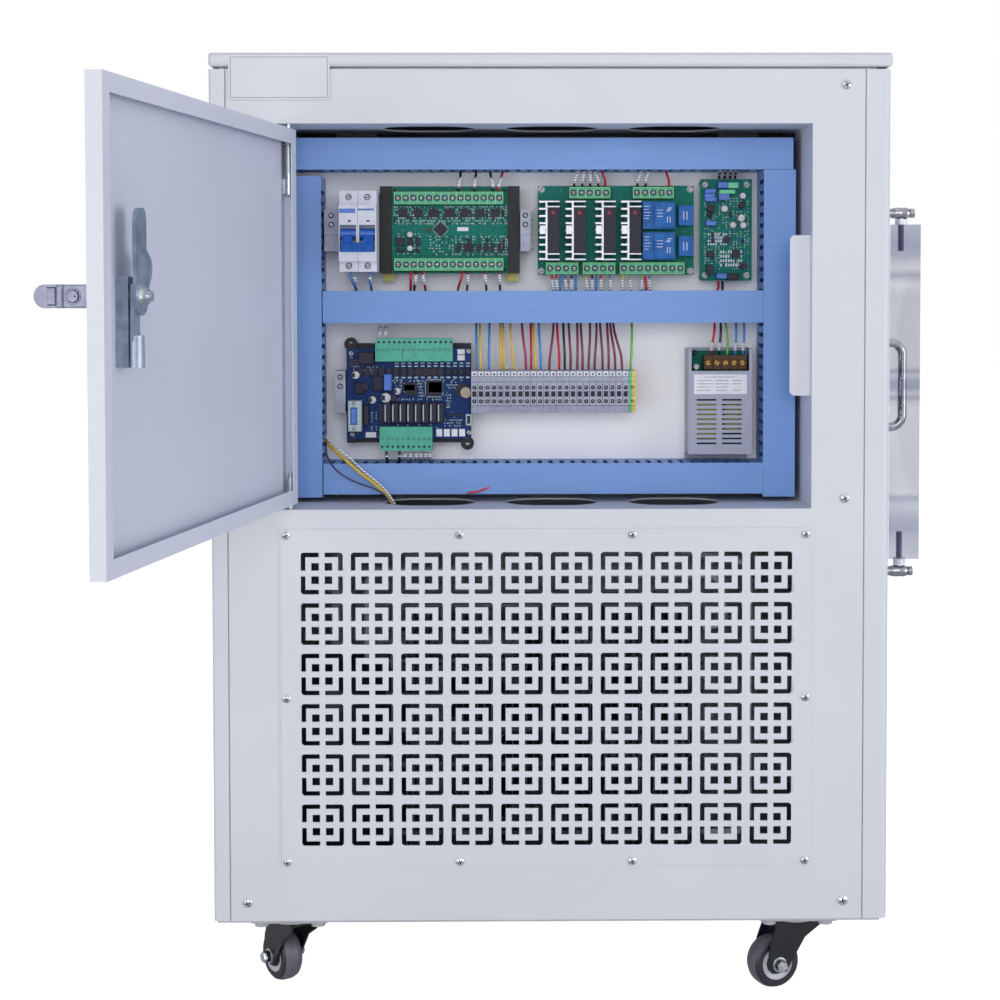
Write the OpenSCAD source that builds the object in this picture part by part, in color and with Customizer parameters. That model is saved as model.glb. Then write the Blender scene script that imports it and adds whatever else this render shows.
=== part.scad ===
// Floor-standing vacuum freeze dryer on castors, with its electrical compartment door open.
// +X points to the front, where the clear chamber door is, and +Z is up.
// The electrical compartment and the condenser grille are on the -Y side.
// The origin is on the floor, under the middle of the cabinet. All sizes are millimetres.

/* [Cabinet] */
// Length of the cabinet from back to front
body_l = 640; // [640:5:680]
// Width of the cabinet, from the electrical side to the far side
body_w = 500; // [500:5:560]
// Height of the side panels
panel_h = 805; // [805:5:840]
// Height of the folded top cover
lid_t = 15.5; // [10:0.5:20]
// Thickness of the cabinet's sheet steel
sheet = 1.5; // [1.2:0.1:2]
// Width of the rear panel's folded return on each side
rear_fold = 15; // [12:1:18]
// Width of the front panel's folded return on each side
front_fold = 23.5; // [20:0.5:26]

/* [Electrical compartment] */
// Width of the compartment's opening
opening_w = 502; // [500:1:504]
// Height of the compartment's opening
opening_h = 362.6; // [362:0.2:364]
// Depth of the box behind the opening
box_depth = 108; // [106:1:110]
// Depth at which the mounting plate stands behind the side panel
plate_depth = 112; // [112:1:114]
// Width of the wiring ducts
duct_w = 31; // [29:1:31]
// Height of the wiring ducts above the mounting plate
duct_h = 50; // [46:1:50]

/* [Electrical door] */
// Depth of the door's folded pan
door_t = 12.5; // [12:0.5:13]
// Angle that the door stands open
door_open = 99.4; // [60:0.2:104]

/* [Grille] */
// Side of one square of the grille pattern
cell = 39.6; // [38:0.2:41]
// Columns of squares
grille_cols = 10; // [6:1:10]
// Rows of squares
grille_rows = 6; // [3:1:6]

/* [Chamber] */
// Inner radius of the vacuum chamber
chamber_r = 118; // [112:1:118]
// Height and width of the clear door
slab = 331; // [325:1:335]
// Thickness of the clear door
slab_t = 30; // [25:1:32]

/* [Castors] */
// Radius of the castor wheels
wheel_r = 25; // [24:0.5:25]
// Height of a castor's plate top above the floor
castor_h = 76; // [76:1:80]

/* [Hidden] */

$fn = 48;
near = -body_w / 2;
back = -body_l / 2;
front = body_l / 2;
base_z = castor_h;
panel_z = base_z + 2;
panel_top = panel_z + panel_h;
top_z = panel_top + lid_t;
side_x = [back + rear_fold, front - front_fold];

// Opening of the electrical compartment and the plate behind it.
open_x1 = 246;
open_x = [open_x1 - opening_w, open_x1];
open_z1 = panel_top - 50.6;
open_z = [open_z1 - opening_h, open_z1];
plate_y = near + plate_depth;
duct_front = plate_y - duct_h;

// Electrical door in its closed place, and its pivot.
door_gap = 5;
door_x = [open_x[0] + 4, open_x[1] - door_gap];
door_z = [open_z[0] + door_gap, open_z[1] - door_gap];
door_sheet = 1.2;
door_lip = 14;
pivot = [open_x[0] + 10, near + 7];
latch_x = door_x[1] - 61;
latch_z = (open_z[0] + open_z[1]) / 2 + 21;

// Grille plate under the compartment.
grille_x = [open_x[0] + 1, open_x[1] + 0.6];
grille_z = [panel_z + 52, panel_z + 373.6];
cell_bar = 4.4;
cell_ring = 5.5;
cell_cross = 5.4;
pitch_x = 47.15;
pitch_z = 47.9;
first_cell = [grille_x[0] + 38.8, grille_z[0] + 40.1];

// Vacuum chamber: a horizontal cylinder whose mouth stands on the front panel.
chamber_z = 575;
chamber_wall = 2;
chamber_back = 25;
flange_r = 152;
flange_t = 11;
slab_x = front + flange_t + 6;
slab_z = [chamber_z - slab / 2, chamber_z + slab / 2];
hinge_y = -slab / 2 + 12.5;
hinge_x = slab_x + 13;
arm_z = [slab_z[0] - 13.5, slab_z[1] + 11.5];

// Castors: plate centres, and the direction in which each wheel trails.
castor_rear_x = -250;
castor_front_x = 237;
castor_y = 205;
trail = 22;
trail_rear_near = 125;
trail_front_near = 200;
trail_rear_far = 165;
trail_front_far = 230;

// Places of the side panels' screws.
screw_x = [-288, 277.4];
screw_z = [95.6, 479.6, 868.5];
grille_screw_x = [-250, -86.6, 76.8, 240.6];
grille_screw_z = [grille_z[0] + 4.8, grille_z[1] - 5.8];
GRILLE_SCREWS = concat(
    [for (x = grille_screw_x, z = grille_screw_z) [x, z]],
    [for (x = [-250, 240.6]) [x, (grille_z[0] + grille_z[1]) / 2]]
);

// Fan behind the condenser.
fan_at = [-5, near + 100, 245];

// Short leads that rise to the duct above a device or drop to the one below it.
// Each is [x at the device, x at the duct, depth at the device, height at the device, height at the duct].
io_top = 773.2;
io_bottom = 694.8;
driver_top = 778.4;
driver_bottom = 690.6;
strip_top = 598.6;
upper_duct = 792.7;
middle_duct = [643.9, 676.3];
lower_duct = 508.2;
BLACK_LEADS = [
    [-88, -86, 77, io_top, upper_duct], [-72.7, -71, 77, io_top, upper_duct],
    [-54.4, -57, 77, io_top, upper_duct], [25.4, 29, 88, driver_top, upper_duct],
    [33.4, 35, 88, driver_top, upper_duct], [41.4, 41, 88, driver_top, upper_duct],
    [49.4, 46, 88, driver_top, upper_duct], [87.8, 91, 88, driver_top, upper_duct],
    [95.8, 98, 88, driver_top, upper_duct], [-129.9, -132, 77, io_bottom, middle_duct[1]],
    [23, 22.5, 88, driver_bottom, middle_duct[1]], [43.2, 43, 88, driver_bottom, middle_duct[1]],
    [15.7, 14.5, 74, strip_top, middle_duct[0]], [168.6, 170, 86, 612.5, middle_duct[0]],
    [168.9, 169.5, 94, 786.2, upper_duct], [174.4, 174.6, 94, 786.2, upper_duct],
    [179.8, 179.8, 94, 786.2, upper_duct], [185, 184.8, 94, 786.2, upper_duct],
    [172.6, 171.5, 94, 685, middle_duct[1]], [-159, -159, 68, 519, lower_duct],
    [-146, -147, 68, 519, lower_duct]
];
RED_LEADS = [
    [-48.7, -45, 77, io_top, upper_duct], [56.1, 53, 88, driver_top, upper_duct],
    [118.9, 116, 88, driver_top, upper_duct], [-134.7, -135.5, 77, io_bottom, middle_duct[1]],
    [-123, -121, 77, io_bottom, middle_duct[1]], [-84.9, -89, 77, io_bottom, middle_duct[1]],
    [3.6, 5, 88, driver_bottom, middle_duct[1]], [7.8, 9, 88, driver_bottom, middle_duct[1]],
    [51.8, 52, 88, driver_bottom, middle_duct[1]], [95.8, 96.5, 88, driver_bottom, middle_duct[1]],
    [-22.4, -26, 74, strip_top, middle_duct[0]], [-17.2, -17.4, 74, strip_top, middle_duct[0]],
    [10.4, 8.4, 74, strip_top, middle_duct[0]],
    [160.7, 164, 86, 612.5, middle_duct[0]], [168.6, 167, 94, 685, middle_duct[1]]
];
BLUE_LEADS = [
    [-173.7, -174, 56, 693.8, middle_duct[1]], [-191.6, -189, 56, 693.8, middle_duct[1]],
    [12, 11.8, 88, driver_bottom, middle_duct[1]], [16.8, 17.4, 88, driver_bottom, middle_duct[1]],
    [27, 27, 88, driver_bottom, middle_duct[1]], [47, 47.2, 88, driver_bottom, middle_duct[1]],
    [61, 61.5, 88, driver_bottom, middle_duct[1]], [99.4, 100.5, 88, driver_bottom, middle_duct[1]],
    [-70.3, -71, 74, strip_top, middle_duct[0]],
    [-58.6, -58, 74, strip_top, middle_duct[0]], [-7.8, -9.5, 74, strip_top, middle_duct[0]],
    [184.4, 185, 86, 612.5, middle_duct[0]], [192.2, 193, 86, 612.5, middle_duct[0]]
];
YELLOW_LEADS = [
    [37.3, 38.5, 88, driver_bottom, middle_duct[1]], [73, 73.5, 88, driver_bottom, middle_duct[1]],
    [80.6, 81.5, 88, driver_bottom, middle_duct[1]], [92.2, 91.5, 88, driver_bottom, middle_duct[1]],
    [-66.8, -67.4, 74, strip_top, middle_duct[0]], [-46.8, -47.4, 74, strip_top, middle_duct[0]],
    [-44, -44.6, 74, strip_top, middle_duct[0]], [-35.2, -37.5, 74, strip_top, middle_duct[0]],
    [-13, -15, 74, strip_top, middle_duct[0]], [80.3, 82.2, 74, strip_top, middle_duct[0]],
    [176.6, 175, 86, 612.5, middle_duct[0]]
];
BROWN_LEADS = [
    [-79.1, -80, 77, io_bottom, middle_duct[1]], [-62.3, -61, 77, io_bottom, middle_duct[1]],
    [-48.1, -47.6, 77, io_bottom, middle_duct[1]], [0.6, 5, 74, strip_top, middle_duct[0]],
    [21.5, 20, 74, strip_top, middle_duct[0]], [28, 28.4, 74, strip_top, middle_duct[0]],
    [33.2, 31.8, 74, strip_top, middle_duct[0]], [39.1, 41, 74, strip_top, middle_duct[0]],
    [45, 47.4, 74, strip_top, middle_duct[0]], [52.8, 50.9, 74, strip_top, middle_duct[0]],
    [58.7, 57.8, 74, strip_top, middle_duct[0]], [65.2, 60.8, 74, strip_top, middle_duct[0]],
    [71.8, 63.8, 74, strip_top, middle_duct[0]]
];
// Loose sensor lead from the left duct down to a hole in the box's floor.
LOOSE_LEAD = [
    [-219.2, -172, 531], [-214, -179, 524], [-206, -188, 518], [-196, -191.8, 510],
    [-184, -192.2, 499], [-172, -192.5, 490], [-160, -192, 480], [-151, -190, 464]
];

// ---- general shapes ----

// Block between two x, two y and two z limits.
module block(x, y, z) {
    translate([x[0], y[0], z[0]]) cube([x[1] - x[0], y[1] - y[0], z[1] - z[0]]);
}

// Rectangle centred on the origin with round corners.
module round_rect(w, h, r) {
    square([w - 2 * r, h], center = true);
    square([w, h - 2 * r], center = true);
    for (x = [-1, 1], y = [-1, 1]) translate([x * (w / 2 - r), y * (h / 2 - r)]) circle(r);
}

// Rod or hole of radius r along Y, between two depths.
module rod_y(x, y, z, r) {
    translate([x, y[0], z]) rotate([-90, 0, 0]) cylinder(h = y[1] - y[0], r = r);
}

// Rod or hole of radius r along X.
module rod_x(x, y, z, r) {
    translate([x[0], y, z]) rotate([0, 90, 0]) cylinder(h = x[1] - x[0], r = r);
}

// Rod or hole of radius r along Z.
module rod_z(x, y, z, r) {
    translate([x, y, z[0]]) cylinder(h = z[1] - z[0], r = r);
}

function unit(v) = v / norm(v);

// Insulated lead or bent pipe: a round tube swept along a list of points.
module swept(points, r, sides = 8) {
    last = len(points) - 1;
    dirs = [for (i = [0:last]) unit(points[min(i + 1, last)] - points[max(i - 1, 0)])];
    ring = [
        for (i = [0:last])
            let (u = unit(cross(dirs[i], [0.31, -0.94, 0.13])), v = cross(dirs[i], u))
                for (k = [0:sides - 1])
                    points[i] + r * (u * cos(360 * k / sides) + v * sin(360 * k / sides))
    ];
    walls = [
        for (i = [0:last - 1], k = [0:sides - 1])
            let (a = i * sides + k, b = i * sides + (k + 1) % sides)
                [a, b, b + sides, a + sides]
    ];
    start = [[for (k = [sides - 1:-1:0]) k]];
    end = [[for (k = [0:sides - 1]) last * sides + k]];
    polyhedron(ring, concat(walls, start, end));
}

// Lead that leaves a device straight, bows forward a little and enters a duct.
module duct_lead(lead, r = 0.95) {
    n = 5;
    straight = (lead[4] > lead[3] ? 1 : -1) * 4;
    span_z = lead[4] - lead[3] - straight;
    bow = min(9, abs(span_z) / 5);
    y0 = near + lead[2];
    y1 = near + 86;
    swept(concat(
        [[lead[0], y0, lead[3]]],
        [
            for (i = [0:n])
                let (t = i / n, s = t * t * (3 - 2 * t))
                    [
                        lead[0] + (lead[1] - lead[0]) * s,
                        y0 + (y1 - y0) * s - bow * sin(180 * t),
                        lead[3] + straight + span_z * t
                    ]
        ]), r);
}

// Puts what is drawn in the closed door's place where the open door is.
module on_open_door() {
    translate([pivot[0], pivot[1], 0]) rotate([0, 0, -door_open])
        translate([-pivot[0], -pivot[1], 0]) children();
}

// ---- cabinet ----

// Welded base tray with four corner angles and a top ring.
module chassis_frame() {
    x = [back + 3.2, front - 7.2];
    y = [near + sheet, -near - sheet];
    t = 2.5;
    post = 48;
    rail = 28;
    color("gainsboro") difference() {
        union() {
        difference() {
            block(x, y, [base_z, base_z + 32]);
            block([x[0] + t, x[1] - t], [y[0] + t, y[1] - t], [base_z + t, base_z + 40]);
            for (cx = [castor_rear_x, castor_front_x], cy = [-castor_y, castor_y], a = [-1, 1], b = [-1, 1])
                rod_z(cx + a * 27, cy + b * 27, [base_z - 1, base_z + t + 1], 3.3);
        }
        for (sx = [0, 1], sy = [0, 1]) {
            in_x = sx == 0 ? 1 : -1;
            in_y = sy == 0 ? 1 : -1;
            block(corner(x[sx], in_x * post), corner(y[sy], in_y * t), [base_z, panel_top - 1]);
            block(corner(x[sx], in_x * t), corner(y[sy], in_y * 20), [base_z, panel_top - 1]);
        }
        for (sy = [0, 1]) {
            in_y = sy == 0 ? 1 : -1;
            block(x, corner(y[sy], in_y * t), [panel_top - rail, panel_top - 1]);
            block(x, corner(y[sy], in_y * rail), [panel_top - 1 - t, panel_top - 1]);
        }
        for (sx = [0, 1]) {
            in_x = sx == 0 ? 1 : -1;
            block(corner(x[sx], in_x * rail), y, [panel_top - 1 - t, panel_top - 1]);
        }
        }
        // Tapped holes for the side panels' screws.
        for (px = screw_x, pz = screw_z, py = y) rod_y(px, [py - 6, py + 6], pz, 2.35);
    }
}

// Ordered pair that starts or ends at a and is d long.
function corner(a, d) = d > 0 ? [a, a + d] : [a + d, a];

// Channel-folded end panel: outer corner radius r, returns of width fold.
module folded_end(outer_x, inward, fold, r) {
    translate([0, 0, panel_z]) linear_extrude(panel_h) intersection() {
        difference() {
            translate([outer_x + inward * 100, 0]) round_rect(200, body_w, r);
            translate([outer_x + inward * (100 + sheet), 0])
                round_rect(200, body_w - 2 * sheet, r - sheet);
        }
        translate([min(outer_x, outer_x + inward * fold), -body_w])
            square([fold, 2 * body_w]);
    }
}

module rear_panel() {
    color("white") difference() {
        folded_end(back, 1, rear_fold, 3);
        rod_x([back - 1, back + 5], 0, chamber_z, 15);
        for (i = [0:9], s = [-1, 1])
            block([back - 1, back + 5], [s * 110 - 60, s * 110 + 60], [170 + i * 22, 176 + i * 22]);
    }
    // Louvre hoods behind the air slots.
    color("white") for (i = [0:9], s = [-1, 1]) {
        block([back + 6, back + 7], [s * 110 - 62, s * 110 + 62], [165 + i * 22, 178 + i * 22]);
        block([back + 1, back + 7], [s * 110 - 62, s * 110 + 62], [177 + i * 22, 178 + i * 22]);
    }
}

module front_panel() {
    color("white") difference() {
        folded_end(front, -1, front_fold, 7);
        rod_x([front - 5, front + 1], 0, chamber_z, chamber_r + chamber_wall + 0.5);
        block([front - 5, front + 1], [-66, 66], [783, 861]);
        for (z = arm_z) rod_x([front - 5, front + 1], hinge_y, z, 3.1);
    }
}

// Side sheet with the compartment's opening and the air inlet behind the grille.
module service_panel() {
    color("white") difference() {
        block([side_x[0] + 1.3, side_x[1] - 1.3], [near, near + sheet], [panel_z, panel_top]);
        block(open_x, [near - 1, near + 5], open_z);
        block([grille_x[0] + 12, grille_x[1] - 12], [near - 1, near + 5], [grille_z[0] + 12, grille_z[1] - 12]);
        for (x = screw_x, z = screw_z) if (x > 0 || z < 800) rod_y(x, [near - 1, near + 3], z, 2.4);
        for (p = GRILLE_SCREWS) rod_y(p[0], [near - 1, near + 3], p[1], 2.1);
    }
}

// Plain far side sheet with two columns of air slots.
module far_panel() {
    color("white") difference() {
        block([side_x[0] + 1.3, side_x[1] - 1.3], [-near - sheet, -near], [panel_z, panel_top]);
        for (i = [0:11], s = [-1, 1])
            block([s * 130 - 90, s * 130 + 90], [-near - 5, -near + 1], [150 + i * 22, 156 + i * 22]);
        for (x = screw_x, z = screw_z) rod_y(x, [-near - 3, -near + 1], z, 2.4);
    }
    // Louvre hoods behind the air slots.
    color("white") for (i = [0:11], s = [-1, 1]) {
        block([s * 130 - 92, s * 130 + 92], [-near - 7, -near - 6], [145 + i * 22, 158 + i * 22]);
        block([s * 130 - 92, s * 130 + 92], [-near - 7, -near - 1], [157 + i * 22, 158 + i * 22]);
    }
}

// Shallow folded lid with round outer edges, standing on a set-back skirt that leaves a shadow gap.
module top_cover() {
    r = 4;
    gap = 2.2;
    inset = 8;
    x = [back - 0.2, front + 1.2];
    w = body_w + 2.4;
    mid = [(x[0] + x[1]) / 2, 0, (panel_top + gap + top_z) / 2];
    color("white") {
        difference() {
            intersection() {
                translate([mid[0], 0, panel_top + gap]) linear_extrude(lid_t - gap)
                    round_rect(x[1] - x[0], w, r);
                translate([mid[0], w / 2, mid[2]]) rotate([90, 0, 0])
                    linear_extrude(w) round_rect(x[1] - x[0], lid_t - gap, r);
                translate([x[0] - 1, 0, mid[2]]) rotate([90, 0, 90])
                    linear_extrude(x[1] - x[0] + 2) round_rect(w, lid_t - gap, r);
            }
            block([x[0] + sheet, x[1] - sheet], [sheet - w / 2, w / 2 - sheet],
                [panel_top + gap + 1.6, top_z - sheet]);
            block([back + inset + 2, front - inset - 6], [near + inset + 1, -near - inset - 1], [panel_top, top_z - 5]);
        }
        // Skirt set back inside the panels; the lid's edge is turned in to meet it.
        difference() {
            block([back + inset + 1, front - inset - 5], [near + inset, -near - inset],
                [panel_top - 1, top_z - sheet + 0.1]);
            block([back + inset + 2.5, front - inset - 6.5], [near + inset + 1.5, -near - inset - 1.5],
                [panel_top - 2, top_z - sheet]);
        }
    }
}

// Cross-recessed pan-head screw that points into the cabinet from the -Y side.
module pan_screw(r, y) {
    head = r * 0.62;
    translate([0, y, 0]) rotate([90, 0, 0]) difference() {
        union() {
            rotate_extrude() intersection() {
                translate([0, head - r * 1.4]) circle(r * 1.4);
                square([r, head]);
            }
            translate([0, 0, -5]) cylinder(h = 5.01, r = r * 0.5);
        }
        for (a = [0, 90]) rotate([0, 0, a + 20])
            translate([-r * 0.6, -r * 0.14, head - 1.2]) cube([r * 1.2, r * 0.28, 2]);
    }
}

module panel_screws() {
    color("silver") {
        for (x = screw_x, z = screw_z) {
            // The corner under the label has no screw.
            if (x > 0 || z < 800) translate([x, 0, z]) pan_screw(4.6, near);
            translate([x, 0, z]) rotate([0, 0, 180]) pan_screw(4.6, near);
        }
        for (p = GRILLE_SCREWS) translate([p[0], 0, p[1]]) pan_screw(4, near - 1.5);
    }
}

// Box sleeve behind the opening, with three long round cable holes above and below and the latch keeper.
module electrical_box() {
    y = [near + sheet, near + box_depth];
    t = 1.5;
    color("white") difference() {
        union() {
            difference() {
                block([open_x[0] - t, open_x[1] + t], y, [open_z[0] - t, open_z[1] + t]);
                block(open_x, [y[0] - 1, y[1] + 1], open_z);
            }
            // Folded keeper strip that the latch lever catches behind.
            block([open_x[1] - 14, open_x[1] + 0.5], [near + 13, near + 14.3], [576, 728]);
            block([open_x[1] - 19, open_x[1] - 13], [near + 13, near + 14.3], [581, 723]);
            for (z = [581, 723]) rod_y(open_x[1] - 14, [near + 13, near + 14.3], z, 5);
            block([open_x[1] - 1.3, open_x[1] + 0.5], [near + 13, near + 36], [576, 728]);
        }
        for (x = [-116.5, 2.5, 121.5]) {
            for (dx = [-12.5, 12.5]) rod_z(x + dx, near + 65, [open_z[0] - 5, open_z[1] + 5], 32);
            block([x - 12.5, x + 12.5], [near + 33, near + 97], [open_z[0] - 5, open_z[0] + 5]);
            block([x - 12.5, x + 12.5], [near + 33, near + 97], [open_z[1] - 5, open_z[1] + 5]);
        }
        rod_z(pivot[0], pivot[1], [open_z[0] - 5, open_z[1] + 5], 2.05);
    }
}

// Flat plate that carries the equipment: it ends at the ducts, and four folded lugs hang it on the box.
module mounting_plate() {
    z = [open_z[0] - 3, open_z[1] + 3];
    color("lavender") {
        difference() {
            block([open_x[0] - 6, DUCTS[0][0][1]], [plate_y, plate_y + 2], [DUCTS[1][1][0] + 1, DUCTS[0][1][1]]);
            rod_y(-120, [plate_y - 1, plate_y + 3], 540, 6);
        }
        for (x = [-190, 190]) {
            block([x - 20, x + 20], [plate_y, plate_y + 2], z);
            block([x - 20, x + 20], [near + 60, plate_y + 1], [z[0], z[0] + 1.5]);
            block([x - 20, x + 20], [near + 60, plate_y + 1], [z[1] - 1.5, z[1]]);
        }
    }
}

// ---- grille ----

h = cell / 2;

// Outline of one corner bracket slot of a cell, in the quadrant given by the signs.
function slot_outline(c, sx, sz) = [
    for (p = [
        [cell_cross / 2, h], [h, h], [h, cell_cross / 2],
        [h - cell_bar, cell_cross / 2], [h - cell_bar, h - cell_bar], [cell_cross / 2, h - cell_bar]
    ]) c + [sx * p[0], sz * p[1]]
];

// Outline of one small square window of a cell.
function window_outline(c, sx, sz) =
    let (a = cell_cross / 2, b = h - cell_bar - cell_ring)
        [for (p = [[a, a], [b, a], [b, b], [a, b]]) c + [sx * p[0], sz * p[1]]];

// Screwed cover plate with a field of nested square cut-outs.
module grille_plate() {
    quarters = [for (sx = [-1, 1], sz = [-1, 1]) [sx, sz]];
    color("white") translate([0, near, 0]) rotate([90, 0, 0]) difference() {
        translate([grille_x[0], grille_z[0], 0])
            cube([grille_x[1] - grille_x[0], grille_z[1] - grille_z[0], 1.5]);
        for (i = [0:grille_cols - 1], j = [0:grille_rows - 1], s = quarters)
            translate([first_cell[0] + i * pitch_x, first_cell[1] + j * pitch_z, -1]) {
                linear_extrude(4) polygon(slot_outline([0, 0], s[0], s[1]));
                linear_extrude(4) polygon(window_outline([0, 0], s[0], s[1]));
            }
        for (p = GRILLE_SCREWS) translate([p[0], p[1], -1]) cylinder(h = 4, r = 2.1);
    }
}

// ---- equipment plate ----

// Each duct is [x limits, z limits, true where it runs upright].
DUCTS = [
    [[open_x[0] + 4, 237.5], [793.3, 824], false],
    [[open_x[0] + 4, -221], [474.5, 787], true],
    [[209, 240], [474.5, 793], true],
    [[-220, 208.8], [644.5, 675.7], false],
    [[-220, 208.8], [477.5, 507.6], false]
];

// Side wall of a duct along X: a comb with open slots towards the front.
module comb_wall(length, pitch, slot, height) {
    n = floor((length - 8) / pitch);
    teeth = [
        for (i = [0:n - 1])
            let (a = 6 + i * pitch)
                each [[a, height], [a, 12], [a + slot, 12], [a + slot, height]]
    ];
    linear_extrude(1.2) polygon(concat([[0, 0], [0, height]], teeth, [[length, height], [length, 0]]));
}

module wire_duct(d) {
    wall_h = duct_h - 1.6;
    along = d[2] ? d[1][1] - d[1][0] : d[0][1] - d[0][0];
    width = d[2] ? d[0][1] - d[0][0] : d[1][1] - d[1][0];
    block(d[0], [plate_y - 1.2, plate_y], d[1]);
    translate([d[0][0], plate_y, d[1][0]])
        if (d[2]) for (x = [0, width - 1.2])
            translate([x, 0, 0]) mirror([0, 1, 0]) rotate([90, 0, 90]) rotate([0, 0, 90]) mirror([0, 1, 0])
                comb_wall(along, 10.7, 4.2, wall_h);
        else for (z = [1.2, width])
            translate([0, 0, z]) rotate([180, 0, 0]) comb_wall(along, 10.7, 4.2, wall_h);
}

module wire_ducts() {
    color("cornflowerblue") for (d = DUCTS) wire_duct(d);
}

// Snap-on covers of the ducts.
module duct_lids() {
    color("cornflowerblue") for (d = DUCTS) {
        block(d[0], [duct_front, duct_front + 1.5], d[1]);
        if (d[2]) for (x = [d[0][0] + 1.3, d[0][1] - 2.3])
            block([x, x + 1], [duct_front, duct_front + 7], [d[1][0] + 1, d[1][1] - 1]);
        else for (z = [d[1][0] + 1.3, d[1][1] - 2.3])
            block([d[0][0] + 1, d[0][1] - 1], [duct_front, duct_front + 7], [z, z + 1]);
    }
}

rail_y = plate_y - 7.5;
upper_rail_z = 735;
lower_rail_z = 577;

// Hat-shaped steel rail 35 mm wide.
module hat_rail(x, z) {
    translate([x[0], plate_y, z]) rotate([90, 0, 90]) linear_extrude(x[1] - x[0]) difference() {
        polygon([
            [0, -12.5], [0, 12.5], [-6.5, 12.5], [-6.5, 17.5], [-7.5, 17.5], [-7.5, 11.5], [-1, 11.5],
            [-1, -11.5], [-7.5, -11.5], [-7.5, -17.5], [-6.5, -17.5], [-6.5, -12.5]
        ]);
    }
}

// Grey clamp that stops a row of devices on its rail.
module rail_clamp(x, z) {
    difference() {
        block([x[0], x[1]], [near + 75, rail_y - 0.1], [z - 20.5, z + 20.5]);
        for (up = [5.5, 14.5]) rod_y((x[0] + x[1]) / 2, [near + 74, near + 78], z + up, 2.6);
        block([x[0] - 1, x[1] + 1], [near + 74, near + 77], [z - 14, z - 4]);
    }
}

module din_rails() {
    color("silver") {
        hat_rail([-219.6, -14], upper_rail_z);
        hat_rail([-212, 86], lower_rail_z);
        rail_clamp([-219.4, -205.4], upper_rail_z);
        rail_clamp([-27.6, -17.8], upper_rail_z);
        rail_clamp([-209.4, -199.4], lower_rail_z);
    }
}

// Black rail-mounted carriers of the input board and of the controller board.
module board_carriers() {
    color("dimgray") {
        difference() {
            block([-165.2, -28.2], [near + 82, rail_y - 0.1], [693, 778.4]);
            block([-154.4, -39.4], [near + 81, near + 88], [690, 782]);
        }
        difference() {
            block([-198.8, -76.4], [near + 84, rail_y - 0.1], [526, 624]);
            block([-190, -85], [near + 83, near + 90], [524, 626]);
        }
        // Pull-down feet that lock the input board's carrier on its rail.
        for (x = [-163.6, -41.2]) block([x, x + 12], [near + 99, near + 103], [685, 693.5]);
        for (p = [[-194.5, 623.5], [-80, 525.5]]) difference() {
            rod_y(p[0], [near + 84, near + 90], p[1], 6.5);
            rod_y(p[0], [near + 83, near + 91], p[1], 2.2);
        }
    }
}

// Two-pole circuit breaker, with a raised nose round its toggle.
module breaker_body() {
    x = [-202, -166];
    y = [near + 45, rail_y - 0.1];
    color("whitesmoke") difference() {
        union() {
            block(x, y, [694.2, 772]);
            block(x, [near + 38, near + 46], [704, 758]);
        }
        for (px = [-193, -175], z = [700, 766]) rod_y(px, [near + 44, near + 50], z, 3.2);
        difference() {
            block([-201.2, -167.2], [near + 37, near + 52], [toggle_pivot[1] - 17, toggle_pivot[1] + 8.5]);
            // Rib between the two poles' levers.
            difference() {
                block([-185.4, -182.6], [near + 30, near + 60], [toggle_pivot[1] - 10, toggle_pivot[1] + 10]);
                rod_x([-186, -182], toggle_pivot[0], toggle_pivot[1], 5.6);
            }
        }
        block([-184.15, -183.85], [near + 37, near + 60], [690, 776]);
    }
}

toggle_pivot = [near + 46, 730.5];

// Joined blue levers of the two breaker poles, in the off place.
module breaker_toggle() {
    color("royalblue") {
        for (x = [[-200.8, -185.8], [-182.2, -167.6]]) rod_x(x, toggle_pivot[0], toggle_pivot[1], 5.4);
        rod_x([-186, -182], toggle_pivot[0], toggle_pivot[1], 2);
        translate([0, toggle_pivot[0], toggle_pivot[1]]) rotate([43, 0, 0]) {
            for (x = [-198.5, -178.5]) block([x, x + 9.4], [-14, 0], [-4, 3]);
            block([-199.8, -168.6], [-19, -13.4], [-6, 1]);
        }
    }
}

// Printed circuit board between x and z limits whose front is at depth d, with its corner holes.
module circuit_board(x, z, d, inset = 3.5) {
    difference() {
        block(x, [near + d, near + d + 1.6], z);
        for (px = [x[0] + inset, x[1] - inset], pz = [z[0] + inset, z[1] - inset])
            rod_y(px, [near + d - 1, near + d + 3], pz, 1.6);
    }
}

// Component body standing on a board, given its limits and the depths of its front and foot.
module part_on(x, z, d) {
    block(x, [near + d[0], near + d[1]], z);
}

module io_board() {
    color("seagreen") {
        circuit_board([-154.2, -39.6], [693, 778], 86);
        translate([-106, 0, 736.3]) rotate([0, 45, 0]) block([-5, 5], [near + 84.6, near + 86], [-5, 5]);
        for (i = [0:6]) part_on([-147 + i * 15, -138 + i * 15], [748, 756], [84.4, 86]);
        for (i = [0:6]) part_on([-90 + i * 6.6, -86 + i * 6.6], [714, 722], [84.4, 86]);
    }
}

// Small standoffs and board of the heater and valve driver.
module driver_board() {
    x = [-10.2, 144.1];
    z = [691.5, 779.2];
    color("seagreen") {
        circuit_board(x, z, 94);
        for (px = [x[0] + 3.5, x[1] - 3.5], pz = [z[0] + 3.5, z[1] - 3.5]) difference() {
            rod_y(px, [near + 95.6, plate_y], pz, 3);
            rod_y(px, [near + 95, plate_y - 6], pz, 1.6);
        }
    }
}

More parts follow.
